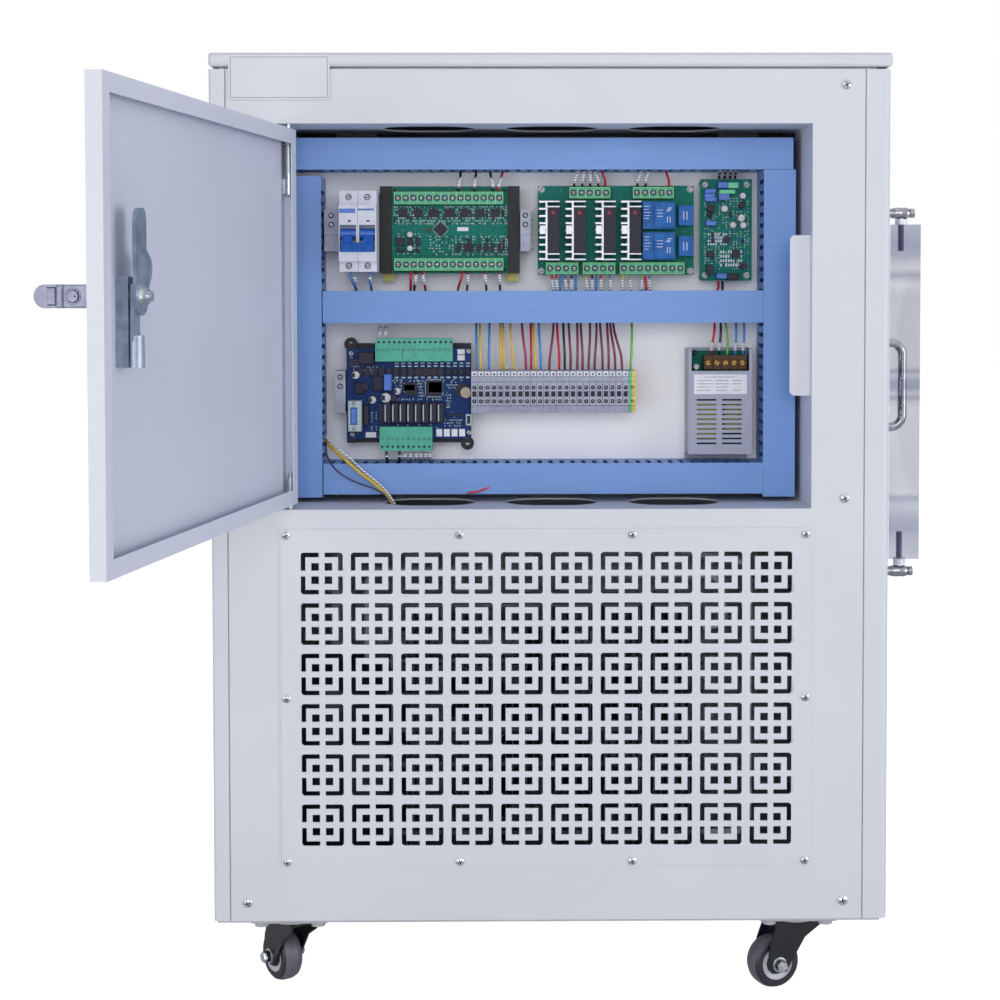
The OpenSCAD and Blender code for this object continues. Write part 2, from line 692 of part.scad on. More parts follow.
module sensor_board() {
    x = [150.2, 201.5];
    z = [685.6, 785.6];
    color("seagreen") {
        circuit_board(x, z, 94);
        for (px = [x[0] + 3.5, x[1] - 3.5], pz = [z[0] + 3.5, z[1] - 3.5]) difference() {
            rod_y(px, [near + 95.6, plate_y], pz, 3);
            rod_y(px, [near + 95, plate_y - 6], pz, 1.6);
        }
        for (p = [[160, 757], [190, 747], [176, 726], [160, 712], [192, 700]])
            rod_y(p[0], [near + 84, near + 94], p[1], 3.4);
        part_on([154, 164], [765, 771], [86, 94]);
        part_on([168, 178], [765, 771], [86, 94]);
        part_on([156, 162], [691, 701], [84, 94]);
        part_on([182, 188], [708, 716], [84, 94]);
    }
}

module plc_board() {
    color("midnightblue") {
        circuit_board([-198.2, -76.6], [530.4, 619.5], 82);
        for (i = [0:11]) part_on([-188 + i * 7.2, -183 + i * 7.2], [592, 600], [78, 82]);
        for (i = [0:7]) part_on([-166 + i * 7.4, -161 + i * 7.4], [547, 565], [77, 82]);
        part_on([-142, -129], [573, 586], [80.4, 82]);
        part_on([-118, -104], [576, 586], [80.4, 82]);
        part_on([-196, -185], [537, 567], [71, 82]);
        rod_y(-84.5, [near + 78, near + 82], 578, 7);
        for (p = [[-192, 606], [-180, 582], [-152, 571]]) rod_y(p[0], [near + 74, near + 82], p[1], 3.4);
    }
}

// Row of screw clamps: n poles from x to x, z limits, front and foot depths.
module clamp_row(n, x, z, d) {
    p = (x[1] - x[0]) / n;
    difference() {
        block(x, [near + d[0], near + d[1]], z);
        for (i = [0:n - 1])
            rod_y(x[0] + p * (i + 0.5), [near + d[0] - 1, near + d[0] + 1.6], (z[0] + z[1]) / 2, p * 0.3);
    }
}

// Plug-in and soldered screw clamps of all the boards.
module board_terminals() {
    color("green") {
        clamp_row(14, [-151, -44.4], [760.5, 772.4], [74, 86]);
        clamp_row(14, [-151, -44.4], [695.7, 707.4], [74, 86]);
        clamp_row(5, [20.7, 60.7], [766.5, 777.4], [84, 94]);
        clamp_row(5, [83.1, 123.2], [766.5, 777.4], [84, 94]);
        clamp_row(4, [-2.5, 29.3], [692, 703.4], [84, 94]);
        clamp_row(4, [33.9, 65.7], [692, 703.4], [84, 94]);
        clamp_row(8, [70.3, 133.8], [692, 703.4], [84, 94]);
        clamp_row(15, [-169.5, -94], [607, 629.5], [68, 82]);
        clamp_row(10, [-165.5, -114.2], [519.6, 543], [68, 82]);
    }
}

// Finned heatsinks of the driver board, each with its power device on the right.
module driver_heatsinks() {
    for (x = [-9.2, 16.5, 45.7, 70.8]) {
        color("whitesmoke") {
            block([x + 6.2, x + 8], [near + 72, near + 94], [705.9, 763.6]);
            for (i = [0:8])
                block([x, x + 6.2], [near + 72, near + 92], [705.9 + i * 6.98, 707.7 + i * 6.98]);
        }
        color("black") block([x + 8, x + 19.5], [near + 74, near + 94], [712, 757]);
    }
}

module relays() {
    color("royalblue") for (z = [706.3, 736.3]) {
        block([92.6, 124.3], [near + 80, near + 94], [z, z + 26.7]);
        block([104, 123.5], [near + 77, near + 81], [z + 1.5, z + 25]);
        block([127.9, 142.3], [near + 80, near + 94], [z + 3.5, z + 23]);
    }
}

// Rail terminals: 24 identical grey blocks, the earth block at the end.
module terminal_blocks() {
    pitch = 6.42;
    color("lightgray") for (i = [0:24])
        translate([-76 + i * pitch + (i == 24 ? 0.2 : 0), 0, 0]) difference() {
            translate([0, 0, 577.5]) rotate([90, 0, 90]) linear_extrude(pitch - 0.12) polygon([
                [near + 65, -13.3], [near + 65, 9], [near + 67.5, 9.6], [near + 67.5, 14.6],
                [near + 66, 15], [near + 66, 20], [near + 68, 20.6],
                [near + 88, 20.6], [near + 96, 16], [rail_y - 0.1, 16], [rail_y - 0.1, -16],
                [near + 96, -16], [near + 88, -21], [near + 69, -21], [near + 67, -14.5]
            ]);
            for (z = [581.3, 567.9]) rod_y(pitch / 2, [near + 60, near + 70], z, 2);
            block([1.1, pitch - 1.2], [near + 64, near + 67], [572.4, 577.7]);
        }
}

// Perforated sheet case of the power supply, with its slotted front.
module power_supply_case() {
    x = [137, 199.5];
    y = [near + 72, plate_y];
    z = [508.2, 619];
    color("silver") difference() {
        block(x, y, z);
        block([x[0] + 1, x[1] - 1], [y[0] + 1, y[1] - 1], [z[0] + 8, z[1] + 1]);
        block([x[0] + 3, x[1] - 3], [y[0] - 1, y[1] - 12], [z[1] - 22, z[1] + 1]);
        for (i = [0:9], cx = [154.8, 179.6])
            block([cx - 9.6, cx + 9.6], [y[0] - 1, y[0] + 2], [525 + i * 4.75, 526.7 + i * 4.75]);
        block([x[0] - 1, x[1] + 1], [y[0] - 1, y[1] - 3], [z[0] - 1, z[0] + 7]);
    }
}

// Circuit board, transformer and amber terminal inside the power supply.
module power_supply_core() {
    color("gold") {
        block([140, 196.5], [plate_y - 9, plate_y - 7.4], [518, 616]);
        block([145, 168], [plate_y - 33, plate_y - 9], [530, 566]);
        block([174, 192], [plate_y - 30, plate_y - 9], [538, 566]);
        difference() {
            block([153.1, 195.5], [near + 82, plate_y - 9], [598.2, 612]);
            for (i = [0:4]) rod_y(157.4 + i * 8.46, [near + 80, near + 84], 605, 2.8);
        }
    }
}

module wires_black() {
    color("black") for (lead = BLACK_LEADS) duct_lead(lead);
}

module wires_red() {
    color("red") for (lead = RED_LEADS) duct_lead(lead);
}

module wires_blue() {
    color("steelblue") for (lead = BLUE_LEADS) duct_lead(lead);
}

module wires_yellow() {
    color("gold") {
        for (lead = YELLOW_LEADS) duct_lead(lead);
        swept(LOOSE_LEAD, 1.5);
    }
}

module wires_brown() {
    color("brown") for (lead = BROWN_LEADS) duct_lead(lead);
}

// ---- electrical door, drawn closed and swung open ----

// Folded pan with return lips round its inner side.
module electrical_door() {
    y = [near, near + door_t];
    t = door_sheet;
    color("white") on_open_door() difference() {
        block(door_x, y, door_z);
        block([door_x[0] + t, door_x[1] - t], [y[0] + t, y[1] - t], [door_z[0] + t, door_z[1] - t]);
        block([door_x[0] + door_lip, door_x[1] - door_lip], [y[1] - 2, y[1] + 1],
            [door_z[0] + door_lip, door_z[1] - door_lip]);
        rod_z(pivot[0], pivot[1], [door_z[0] - 1, door_z[1] + 1], 2.05);
        rod_y(latch_x, [near - 1, near + 3], latch_z, 6.5);
    }
}

// Spring pin with its barrel at the top, fixed pin at the bottom.
module door_hinge_pins() {
    color("silver") on_open_door() {
        rod_z(pivot[0], pivot[1], [766, 816], 3.5);
        rod_z(pivot[0], pivot[1], [815, open_z[1] + 1.2], 2);
        block([pivot[0] - 1, pivot[0] + 1], [pivot[1] - 5.6, pivot[1]], [767, 781]);
        rod_z(pivot[0], pivot[1], [open_z[0] - 1.2, door_z[0] + 30], 2);
        rod_z(pivot[0], pivot[1], [door_z[0] + 1.4, door_z[0] + 24], 3.5);
    }
}

// Lock body inside the pan and its plate on the outer face.
module latch_housing() {
    color("slategray") on_open_door() difference() {
        union() {
            block([latch_x - 10, latch_x + 10], [near + door_sheet, near + 10.8], [latch_z - 51, latch_z + 14]);
            block([latch_x - 14, latch_x + 14], [near - 4, near], [latch_z - 92, latch_z + 28]);
            rod_y(latch_x, [near - 3, near + 3], latch_z, 6.45);
        }
        rod_y(latch_x, [near - 5, near + 12], latch_z, 5.05);
    }
}

// Turning spindle with its outer head and lug, and the washer and nut that clamp the lever.
module latch_spindle() {
    color("silver") on_open_door() difference() {
        union() {
            rod_y(latch_x, [near - 6, near + 20], latch_z, 5);
            rod_y(latch_x, [near - 6.5, near - 4.1], latch_z, 9);
            block([latch_x - 3.8, latch_x + 3.8], [near - 18, near - 6], [latch_z - 3, latch_z + 3]);
            rod_y(latch_x, [near + 17.6, near + 18.8], latch_z, 8.6);
            translate([latch_x, near + 22.6, latch_z]) rotate([90, 15, 0]) cylinder(h = 3.9, r = 6.5, $fn = 6);
            rod_y(latch_x, [near + 22, near + 25.4], latch_z, 3.6);
        }
        rod_z(latch_x, near - 13, [latch_z - 5, latch_z + 5], 1.55);
    }
}

// Stamped plate of the latch, drawn upright between two depths, with its hole for the spindle.
module latch_plate(outline, d) {
    translate([latch_x, near + d[1], latch_z]) rotate([90, 0, 0]) linear_extrude(d[1] - d[0])
        difference() {
            polygon(outline);
            circle(5.05);
        }
}

// Stamped steel lever that swings behind the keeper strip, with a jogged tail and a rolled end.
module latch_lever() {
    color("lightslategray") on_open_door() {
        latch_plate([
            [12, 6], [12, 54], [10.5, 60], [7, 63], [-5, 63.5], [-9, 60], [-10, 54], [-10, 33], [-14, 31],
            [-20, 27], [-22.5, 21], [-21, 15], [-15, 7], [-13, 0], [-12.5, -6], [-9, -11], [-3, -14],
            [4, -13.5], [9, -9], [11.5, -2]
        ], [15.1, 17.6]);
        latch_plate([[10, 9], [11, -32], [-4, -32], [-2, -24], [-3, -9], [-7, 0], [-7, 9]], [12.6, 15.1]);
        difference() {
            rod_z(latch_x + 3.5, near + 12.6, [latch_z - 51, latch_z - 28], 7.5);
            rod_z(latch_x + 3.5, near + 12.6, [latch_z - 52, latch_z - 32], 5);
            block([latch_x - 8, latch_x + 12], [near + 2, near + 12.6], [latch_z - 53, latch_z - 20]);
        }
    }
}

// Pull-out handle with a round end and a key cylinder, standing out from the door.
module latch_handle() {
    w = 8.6;
    color("silver") on_open_door() {
        difference() {
            union() {
                block([latch_x - 3.6, latch_x + 3.6], [near - 54.4, near - 8.8], [latch_z - w, latch_z + w]);
                rod_x([latch_x - 3.6, latch_x + 3.6], near - 54.4, latch_z, w);
                rod_x([latch_x + 3.5, latch_x + 5.6], near - 28, latch_z, 5.2);
            }
            block([latch_x - 5, latch_x + 5], [near - 18.6, near], [latch_z - 3.1, latch_z + 3.1]);
        }
        rod_z(latch_x, near - 13, [latch_z - w, latch_z + w], 1.5);
    }
}

// ---- refrigeration ----

// Hermetic compressor: a drawn can on a foot plate, with its terminal box.
module compressor() {
    at = [-222, -70];
    floor_z = base_z + 2.5;
    color("darkslategray") translate([at[0], at[1], floor_z]) {
        translate([0, 0, 12]) rotate_extrude() polygon([
            [0, 0], [58, 0], [72, 8], [78, 24], [78, 94], [81, 94], [81, 100], [78, 100],
            [78, 164], [72, 184], [56, 198], [30, 206], [0, 208]
        ]);
        block([-70, 70], [-52, 52], [8, 12.5]);
        for (x = [-60, 60], y = [-42, 42]) rod_z(x, y, [0, 8.5], 9);
        block([20, 60], [-98, -70], [90, 150]);
    }
}

// Finned condenser coil with its end plates and return bends.
module condenser() {
    x = [-152, 142];
    z = [120, 372];
    y = [near + 40, near + 84];
    fins = 42;
    color("lightsteelblue") {
        for (i = [0:fins - 1])
            block([x[0] + 6 + i * 6.85, x[0] + 6.7 + i * 6.85], [y[0] + 4, y[1] - 2], [z[0] + 2, z[1] - 2]);
        for (px = x) block([px - 1.5, px + 1.5], y, z);
        for (i = [0:6]) rod_x([x[0] - 8, x[1] + 8], (y[0] + y[1]) / 2, z[0] + 24 + i * 34, 4.8);
        for (pz = z) block(x, y, [pz - 1, pz + 1]);
        for (px = [x[0] + 20, x[1] - 20]) block([px - 8, px + 8], y, [base_z + 2.5, z[0]]);
    }
}

// Square fan plate with a round inlet ring, the motor and its spider.
module fan_shroud() {
    c = fan_at;
    color("gray") {
        difference() {
            block([c[0] - 130, c[0] + 130], [c[1] - 14, c[1] - 12], [c[2] - 118, c[2] + 122]);
            rod_y(c[0], [c[1] - 16, c[1] - 10], c[2], 108);
        }
        difference() {
            rod_y(c[0], [c[1] - 13, c[1] + 20], c[2], 110);
            rod_y(c[0], [c[1] - 15, c[1] + 22], c[2], 108);
        }
        for (a = [0, 90]) translate([c[0], 0, c[2]]) rotate([0, a + 45, 0])
            block([-109, 109], [c[1] + 16, c[1] + 19], [-5, 5]);
        rod_y(c[0], [c[1] + 12, c[1] + 62], c[2], 34);
        rod_y(c[0], [c[1] - 6, c[1] + 13], c[2], 4);
        for (x = [-112, 112]) block([c[0] + x - 9, c[0] + x + 9], [c[1] - 14, c[1] - 12], [base_z + 2.5, c[2] - 110]);
    }
}

// Five pitched blades on a hub.
module fan_blades() {
    c = fan_at;
    color("dimgray") difference() {
        union() {
            rod_y(c[0], [c[1] - 6, c[1] + 10], c[2], 22);
            for (k = [0:4]) translate([c[0], c[1] + 2, c[2]]) rotate([0, k * 72, 0])
                rotate([0, 0, 22]) rotate([0, 0, 0]) translate([0, 0, 20])
                    block([-24, 24], [-1, 1], [0, 80]);
        }
        rod_y(c[0], [c[1] - 8, c[1] + 13], c[2], 4.06);
    }
}

// Bent copper pipe through a list of corner points, with each corner eased.
function eased(points) = concat(
    [points[0]],
    [
        for (i = [1:len(points) - 2])
            let (a = points[i - 1], b = points[i], c = points[i + 1],
                u = b + unit(a - b) * 16, v = b + unit(c - b) * 16)
                for (t = [0:0.25:1]) (1 - t) * (1 - t) * u + 2 * t * (1 - t) * b + t * t * v
    ],
    [points[len(points) - 1]]);

module refrigerant_pipes() {
    color("peru") {
        swept(eased([[-182, -118, 300], [-182, -118, 392], [172, -150, 392], [172, -188, 348], [150.4, -188, 348]]),
            4, 10);
        swept(eased([[-222, -30, 295.6], [-222, -30, 404], [60, -30, 404], [60, -30, 446]]), 6, 10);
        swept(eased([[150.4, -188, 144], [196, -188, 144], [196, -188, 410], [100, -60, 410], [100, -60, 448]]),
            3.2, 10);
    }
}

// ---- vacuum chamber ----

// Welded stainless chamber with its machined mouth flange.
module chamber_vessel() {
    r = chamber_r + chamber_wall;
    color("lightgray") difference() {
        union() {
            rod_x([chamber_back - 3, front + flange_t], 0, chamber_z, r);
            rod_x([front + 0.1, front + flange_t], 0, chamber_z, flange_r);
        }
        rod_x([chamber_back, front + flange_t + 1], 0, chamber_z, chamber_r);
        rod_x([chamber_back - 5, chamber_back + 1], 0, chamber_z, 12);
        difference() {
            rod_x([front + flange_t - 3, front + flange_t + 1], 0, chamber_z, 140);
            rod_x([front + flange_t - 4, front + flange_t + 2], 0, chamber_z, 128);
        }
    }
}

// Silicone ring seated in the flange's groove.
module door_gasket() {
    x = front + flange_t;
    color("white") translate([0, 0, chamber_z]) rotate([0, 90, 0]) rotate_extrude($fn = 96)
        polygon([[128.2, x - 3], [139.8, x - 3], [139.8, x + 1], [137, x + 5.9], [131, x + 5.9], [128.2, x + 1]]);
}

// Stainless rack with four heated shelves and a tray on each.
module shelf_rack() {
    x = [60, 300];
    color("silver") {
        for (s = [-1, 1]) block(x, [s * 92 - 0.8, s * 92 + 0.8], [chamber_z - 72, chamber_z + 72]);
        for (z = [-66, -24, 18, 60]) {
            block(x, [-92, 92], [chamber_z + z, chamber_z + z + 4]);
            difference() {
                block([x[0] + 8, x[1] - 8], [-84, 84], [chamber_z + z + 4, chamber_z + z + 20]);
                block([x[0] + 9, x[1] - 9], [-83, 83], [chamber_z + z + 5, chamber_z + z + 21]);
            }
        }
    }
}

// Vacuum pipe from the chamber's end to its clamp flange behind the rear panel.
module vacuum_port() {
    color("silver") difference() {
        union() {
            rod_x([back - 30, chamber_back - 3], 0, chamber_z, 14.5);
            rod_x([back - 30, back - 27], 0, chamber_z, 20);
        }
        rod_x([back - 31, chamber_back - 2], 0, chamber_z, 13);
    }
}

// Turned hinge arm that stands out from the front panel and holds a door pin.
module hinge_arms() {
    x = hinge_x - front;
    color("silver") for (z = arm_z) translate([front, hinge_y, z]) difference() {
        rotate([0, 90, 0]) rotate_extrude() polygon([
            [0, -12], [3, -12], [3, -sheet - 6], [6, -sheet - 6], [6, -sheet - 0.1], [3, -sheet],
            [3, 0], [3.6, 0.1], [3.6, 7], [4.4, x - 11], [5.6, x - 6], [6, x], [5.7, x + 5],
            [4.8, x + 7.5], [3.8, x + 8.2], [4.6, x + 8.8], [4.6, x + 13], [0, x + 13]
        ]);
        rod_z(x, 0, [-9, 9], 3.05);
    }
}

// Thick clear acrylic door, drilled for its pins and for the handle's screws.
module chamber_door() {
    color("lightcyan", 0.4) difference() {
        block([slab_x, slab_x + slab_t], [-slab / 2, slab / 2], slab_z);
        rod_z(hinge_x, hinge_y, [slab_z[0] - 1, slab_z[0] + 26], 3.05);
        rod_z(hinge_x, hinge_y, [slab_z[1] - 26, slab_z[1] + 1], 3.05);
        for (z = [522, 617]) rod_x([slab_x + slab_t - 16, slab_x + slab_t + 1], 92, z, 3);
    }
}

// Two pivot pins screwed into the door's top and bottom edges, each with a collar.
module chamber_door_pins() {
    color("silver") {
        rod_z(hinge_x, hinge_y, [slab_z[1] - 25, arm_z[1] + 4], 3);
        rod_z(hinge_x, hinge_y, [slab_z[1] + 0.1, arm_z[1] - 6.2], 5.8);
        rod_z(hinge_x, hinge_y, [arm_z[0] - 4, slab_z[0] + 25], 3);
        rod_z(hinge_x, hinge_y, [arm_z[0] + 6.2, slab_z[0] - 0.1], 5.8);
    }
}

// Bent round bar handle on the door's front face.
module pull_handle() {
    r = 5;
    bend = 14;
    foot = slab_x + slab_t;
    x = foot + 38;
    color("silver") translate([0, 92, 0]) {
        for (s = [[522, -1], [617, 1]]) {
            rod_x([foot, x - bend], 0, s[0], r);
            rod_x([foot - 15, foot + 0.1], 0, s[0], 2.9);
            translate([x - bend, 0, s[0] - s[1] * bend]) rotate([90, 0, 0])
                rotate([0, 0, s[1] > 0 ? 0 : -90]) rotate_extrude(angle = 90) translate([bend, 0]) circle(r);
        }
        rod_z(x, 0, [522 + bend, 617 - bend], r);
    }
}

// Bezel and glass of the operator screen, guessed above the chamber door.
module operator_screen() {
    color("dimgray") {
        block([front, front + 5], [-72, 72], [778, 866]);
        block([front - 32, front + 0.1], [-65, 65], [784, 860]);
    }
}

// ---- castors ----

CASTORS = [
    [castor_rear_x, -castor_y, trail_rear_near], [castor_front_x, -castor_y, trail_front_near],
    [castor_rear_x, castor_y, trail_rear_far], [castor_front_x, castor_y, trail_front_far]
];
axle_z = wheel_r;

// Four top plates with their swivel cups and bolts.
module castor_plates() {
    color("silver") for (c = CASTORS) translate([c[0], c[1], base_z]) {
        difference() {
            translate([0, 0, -3]) linear_extrude(3) round_rect(76, 76, 6);
            for (a = [-1, 1], b = [-1, 1]) rod_z(a * 27, b * 27, [-4, 1], 3.2);
        }
        rod_z(0, 0, [-9, -2.9], 24);
        rod_z(0, 0, [-14, -8.9], 4);
        for (a = [-1, 1], b = [-1, 1]) {
            rod_z(a * 27, b * 27, [-3.1, 6], 3);
            translate([a * 27, b * 27, -8]) cylinder(h = 5, r = 6.6);
        }
    }
}

// Stamped fork with its axle bolt, trailing along +X before it is turned.
module castor_fork(c) {
    cheek = [
        [-22, 15.4], [26, 15.4], [26, 8], [trail + 10, -7], [trail + 11.5, -26], [trail + 8, -34],
        [trail - 8, -34], [trail - 11, -28], [-6, -2], [-22, 8]
    ];
    color("black") translate([c[0], c[1], axle_z + 26]) rotate([0, 0, c[2]]) {
        for (y = [-14.5, 12.5]) translate([0, y + 2, 0]) rotate([90, 0, 0]) linear_extrude(2) polygon(cheek);
        difference() {
            block([-22, 26], [-14.5, 14.5], [13.4, 15.4]);
            rod_z(0, 0, [10, 20], 4.06);
        }
        rod_y(trail, [-18.5, 18.5], -26, 3.4);
        rod_y(trail, [-19, -14.6], -26, 5.6);
        rod_y(trail, [14.6, 19], -26, 5.6);
    }
}

// Wheel with a raised hub and a crowned tread.
module castor_wheel(c) {
    r = wheel_r;
    color("gray") translate([c[0], c[1], axle_z]) rotate([0, 0, c[2]]) translate([trail, 0, 0])
        rotate([90, 0, 0]) rotate_extrude($fn = 64) polygon([
            [3.46, -11.5], [9, -11.5], [9.5, -9], [15, -9], [16, -10.5], [21, -10.5], [r - 1.6, -8.5],
            [r, -4], [r, 4], [r - 1.6, 8.5], [21, 10.5], [16, 10.5], [15, 9], [9.5, 9], [9, 11.5],
            [3.46, 11.5]
        ]);
}

// ---- every node ----

chassis_frame();
rear_panel();
front_panel();
service_panel();
far_panel();
top_cover();
panel_screws();
electrical_box();
mounting_plate();
grille_plate();
wire_ducts();
duct_lids();
din_rails();
board_carriers();
breaker_body();
breaker_toggle();
io_board();
driver_board();
sensor_board();
plc_board();
board_terminals();
driver_heatsinks();
relays();
terminal_blocks();
power_supply_case();
power_supply_core();
wires_black();
wires_red();
wires_blue();
wires_yellow();
wires_brown();
electrical_door();
door_hinge_pins();
latch_housing();
latch_spindle();
latch_lever();
latch_handle();
compressor();
condenser();
fan_shroud();
fan_blades();
refrigerant_pipes();
chamber_vessel();
door_gasket();
shelf_rack();
vacuum_port();
hinge_arms();
chamber_door();
chamber_door_pins();
pull_handle();
castor_plates();
castor_fork(CASTORS[0]);  // castor_fork_rear_near
castor_wheel(CASTORS[0]);  // castor_wheel_rear_near
castor_fork(CASTORS[1]);  // castor_fork_front_near
castor_wheel(CASTORS[1]);  // castor_wheel_front_near
castor_fork(CASTORS[2]);  // castor_fork_rear_far
castor_wheel(CASTORS[2]);  // castor_wheel_rear_far
castor_fork(CASTORS[3]);  // castor_fork_front_far
castor_wheel(CASTORS[3]);  // castor_wheel_front_far
operator_screen();
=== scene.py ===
import math
import random

import bmesh
import bpy
from mathutils import Matrix, Vector


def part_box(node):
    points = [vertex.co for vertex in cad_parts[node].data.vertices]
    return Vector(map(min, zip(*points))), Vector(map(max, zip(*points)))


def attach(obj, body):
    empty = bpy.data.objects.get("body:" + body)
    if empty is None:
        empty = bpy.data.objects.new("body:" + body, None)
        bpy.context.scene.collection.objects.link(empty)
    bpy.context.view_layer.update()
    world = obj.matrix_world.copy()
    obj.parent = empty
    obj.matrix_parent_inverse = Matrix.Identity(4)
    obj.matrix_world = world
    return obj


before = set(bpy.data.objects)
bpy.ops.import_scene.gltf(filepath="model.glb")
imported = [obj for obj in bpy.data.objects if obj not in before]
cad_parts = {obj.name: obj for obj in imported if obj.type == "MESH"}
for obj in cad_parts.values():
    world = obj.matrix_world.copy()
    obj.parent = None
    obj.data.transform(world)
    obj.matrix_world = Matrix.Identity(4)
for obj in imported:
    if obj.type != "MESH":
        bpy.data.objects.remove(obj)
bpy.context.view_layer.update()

scene = bpy.context.scene
scene.view_settings.view_transform = "Standard"


# ---- Studio: floor, sky, lamps and camera ----
# A pale seamless floor under the cabinet and an even white surround, with a large softbox on the
# left, one behind the camera that reaches into the compartment, a side fill and a weak top one.

def linear(colour):
    """A hex sRGB colour as the linear RGBA that shaders take."""
    parts = [int(colour[i:i + 2], 16) / 255 for i in (0, 2, 4)]
    return [p / 12.92 if p <= 0.04045 else ((p + 0.055) / 1.055) ** 2.4 for p in parts] + [1]


def add(tree, kind, links=None, values=None, **settings):
    """Adds one node, with its settings, its unlinked input values and its links."""
    made = tree.nodes.new(kind)
    for key, value in settings.items():
        setattr(made, key, value)
    for key, value in (values or {}).items():
        made.inputs[key].default_value = value
    for key, source in (links or {}).items():
        tree.links.new(source, made.inputs[key])
    return made


def blank_material(name):
    """An empty node material and its tree."""
    material = bpy.data.materials.new(name)
    material.use_nodes = True
    material.node_tree.nodes.clear()
    return material, material.node_tree


floor_paper, tree = blank_material("matt_white_studio_paper")
# Rolled background paper: even, matt, and lit so far that only the contact shadows show.
ray = add(tree, "ShaderNodeLightPath")
paper = add(tree, "ShaderNodeBsdfDiffuse", values={"Color": linear("D6D6D8")})
lit = add(tree, "ShaderNodeEmission", values={"Color": linear("FFFFFF"), "Strength": 0.955})
sharp = add(tree, "ShaderNodeMath", {0: ray.outputs["Is Camera Ray"], 1: ray.outputs["Is Transmission Ray"]},
            operation="MAXIMUM")
glow = add(tree, "ShaderNodeEmission", values={"Color": linear("FFFFFF"), "Strength": 0.1})
lifted = add(tree, "ShaderNodeAddShader", {0: paper.outputs[0], 1: glow.outputs[0]})
seen = add(tree, "ShaderNodeMixShader", {0: sharp.outputs[0], 1: lifted.outputs[0]})
both = add(tree, "ShaderNodeAddShader", {0: lit.outputs[0]})
half = add(tree, "ShaderNodeMixShader", {1: paper.outputs[0]}, {0: 0.4})
tree.links.new(half.outputs[0], both.inputs[1])
tree.links.new(both.outputs[0], seen.inputs[2])
add(tree, "ShaderNodeOutputMaterial", {"Surface": seen.outputs[0]})

mesh = bpy.data.meshes.new("studio_floor")
mesh.from_pydata([(-9, -6, 0), (9, -6, 0), (9, 9, 0), (-9, 9, 0)], [], [(0, 1, 2, 3)])
floor = bpy.data.objects.new("studio_floor", mesh)
scene.collection.objects.link(floor)
floor.data.materials.append(floor_paper)

world = bpy.data.worlds.new("white_surround")
world.use_nodes = True
tree = world.node_tree
tree.nodes.clear()
ray = add(tree, "ShaderNodeLightPath")
sharp = add(tree, "ShaderNodeMath", {0: ray.outputs["Is Camera Ray"], 1: ray.outputs["Is Transmission Ray"]},
            operation="MAXIMUM")
sharp = add(tree, "ShaderNodeMath", {0: sharp.outputs[0], 1: ray.outputs["Is Glossy Ray"]},
            operation="MAXIMUM")
dim = add(tree, "ShaderNodeBackground", values={"Color": linear("EFF1F8"), "Strength": 0.42})
white = add(tree, "ShaderNodeBackground", values={"Color": linear("FFFFFF"), "Strength": 1.0})
mix = add(tree, "ShaderNodeMixShader", {0: sharp.outputs[0], 1: dim.outputs[0], 2: white.outputs[0]})
add(tree, "ShaderNodeOutputWorld", {"Surface": mix.outputs[0]})
scene.world = world

for name, place, size, power in (
    ("softbox_left", (-1.5, -2.7, 0.5), 1.7, 23.5),
    ("softbox_front", (0.0, -3.1, 1.2), 1.3, 22),
    ("softbox_right", (2.3, -1.35, 0.6), 1.5, 23),
    ("overhead_fill", (0.0, -1.1, 2.7), 1.6, 2),
    ("rear_fill", (-0.9, 2.6, 1.3), 1.8, 16),
):
    lamp = bpy.data.lights.new(name, "AREA")
    lamp.size = size
    lamp.energy = power
    lamp.color = (1.0, 0.99, 0.975)
    lamp_object = bpy.data.objects.new(name, lamp)
    lamp_object.location = place
    aim = Vector((0.0, -0.15, 0.5)) - Vector(place)
    lamp_object.rotation_euler = aim.to_track_quat("-Z", "Y").to_euler()
    scene.collection.objects.link(lamp_object)

camera = bpy.data.cameras.new("camera")
camera.lens = 67.8
camera.sensor_width = 36
camera.shift_x = -0.0169
camera.shift_y = -0.14
camera_object = bpy.data.objects.new("camera", camera)
turned = (Matrix.Rotation(-0.0102, 4, "Z") @ Matrix.Rotation(math.pi / 2 - 0.0366, 4, "X")
          @ Matrix.Rotation(-0.0013, 4, "Z"))
camera_object.matrix_world = Matrix.Translation((-0.050, -2.020, 0.6755)) @ turned
scene.collection.objects.link(camera_object)
scene.camera = camera_object


# ---- Chassis and castor plates ----
# A base tray with four folded corner angles and a top ring, of sheet steel welded and sprayed
# with a thin zinc-grey primer. The castors' top plates are the same colour and bolt under it.

def principled(tree, base, roughness, specular=0.5, **values):
    """The main shader of a material, with its base colour, and the material's output."""
    values = dict(values, Roughness=roughness)
    values["Specular IOR Level"] = specular
    shader = add(tree, "ShaderNodeBsdfPrincipled", values=values)
    if isinstance(base, str):
        shader.inputs["Base Color"].default_value = linear(base)
    else:
        tree.links.new(base, shader.inputs["Base Color"])
    add(tree, "ShaderNodeOutputMaterial", {"Surface": shader.outputs[0]})
    return shader


def place_in(tree, millimetres):
    """The object's own coordinates, scaled so that one unit is that many millimetres."""
    where = add(tree, "ShaderNodeTexCoord")
    scaled = add(tree, "ShaderNodeVectorMath", {0: where.outputs["Object"]}, operation="SCALE",
                 values={"Scale": 1000 / millimetres})
    return scaled.outputs[0]


def roughened(tree, shader, millimetres, depth, detail=2.0):
    """Bump from fine noise of that grain, on a shader."""
    noise = add(tree, "ShaderNodeTexNoise", {"Vector": place_in(tree, millimetres)},
                {"Scale": 1.0, "Detail": detail})
    bump = add(tree, "ShaderNodeBump", {"Height": noise.outputs["Fac"]},
               {"Strength": 1.0, "Distance": depth / 1000})
    tree.links.new(bump.outputs[0], shader.inputs["Normal"])


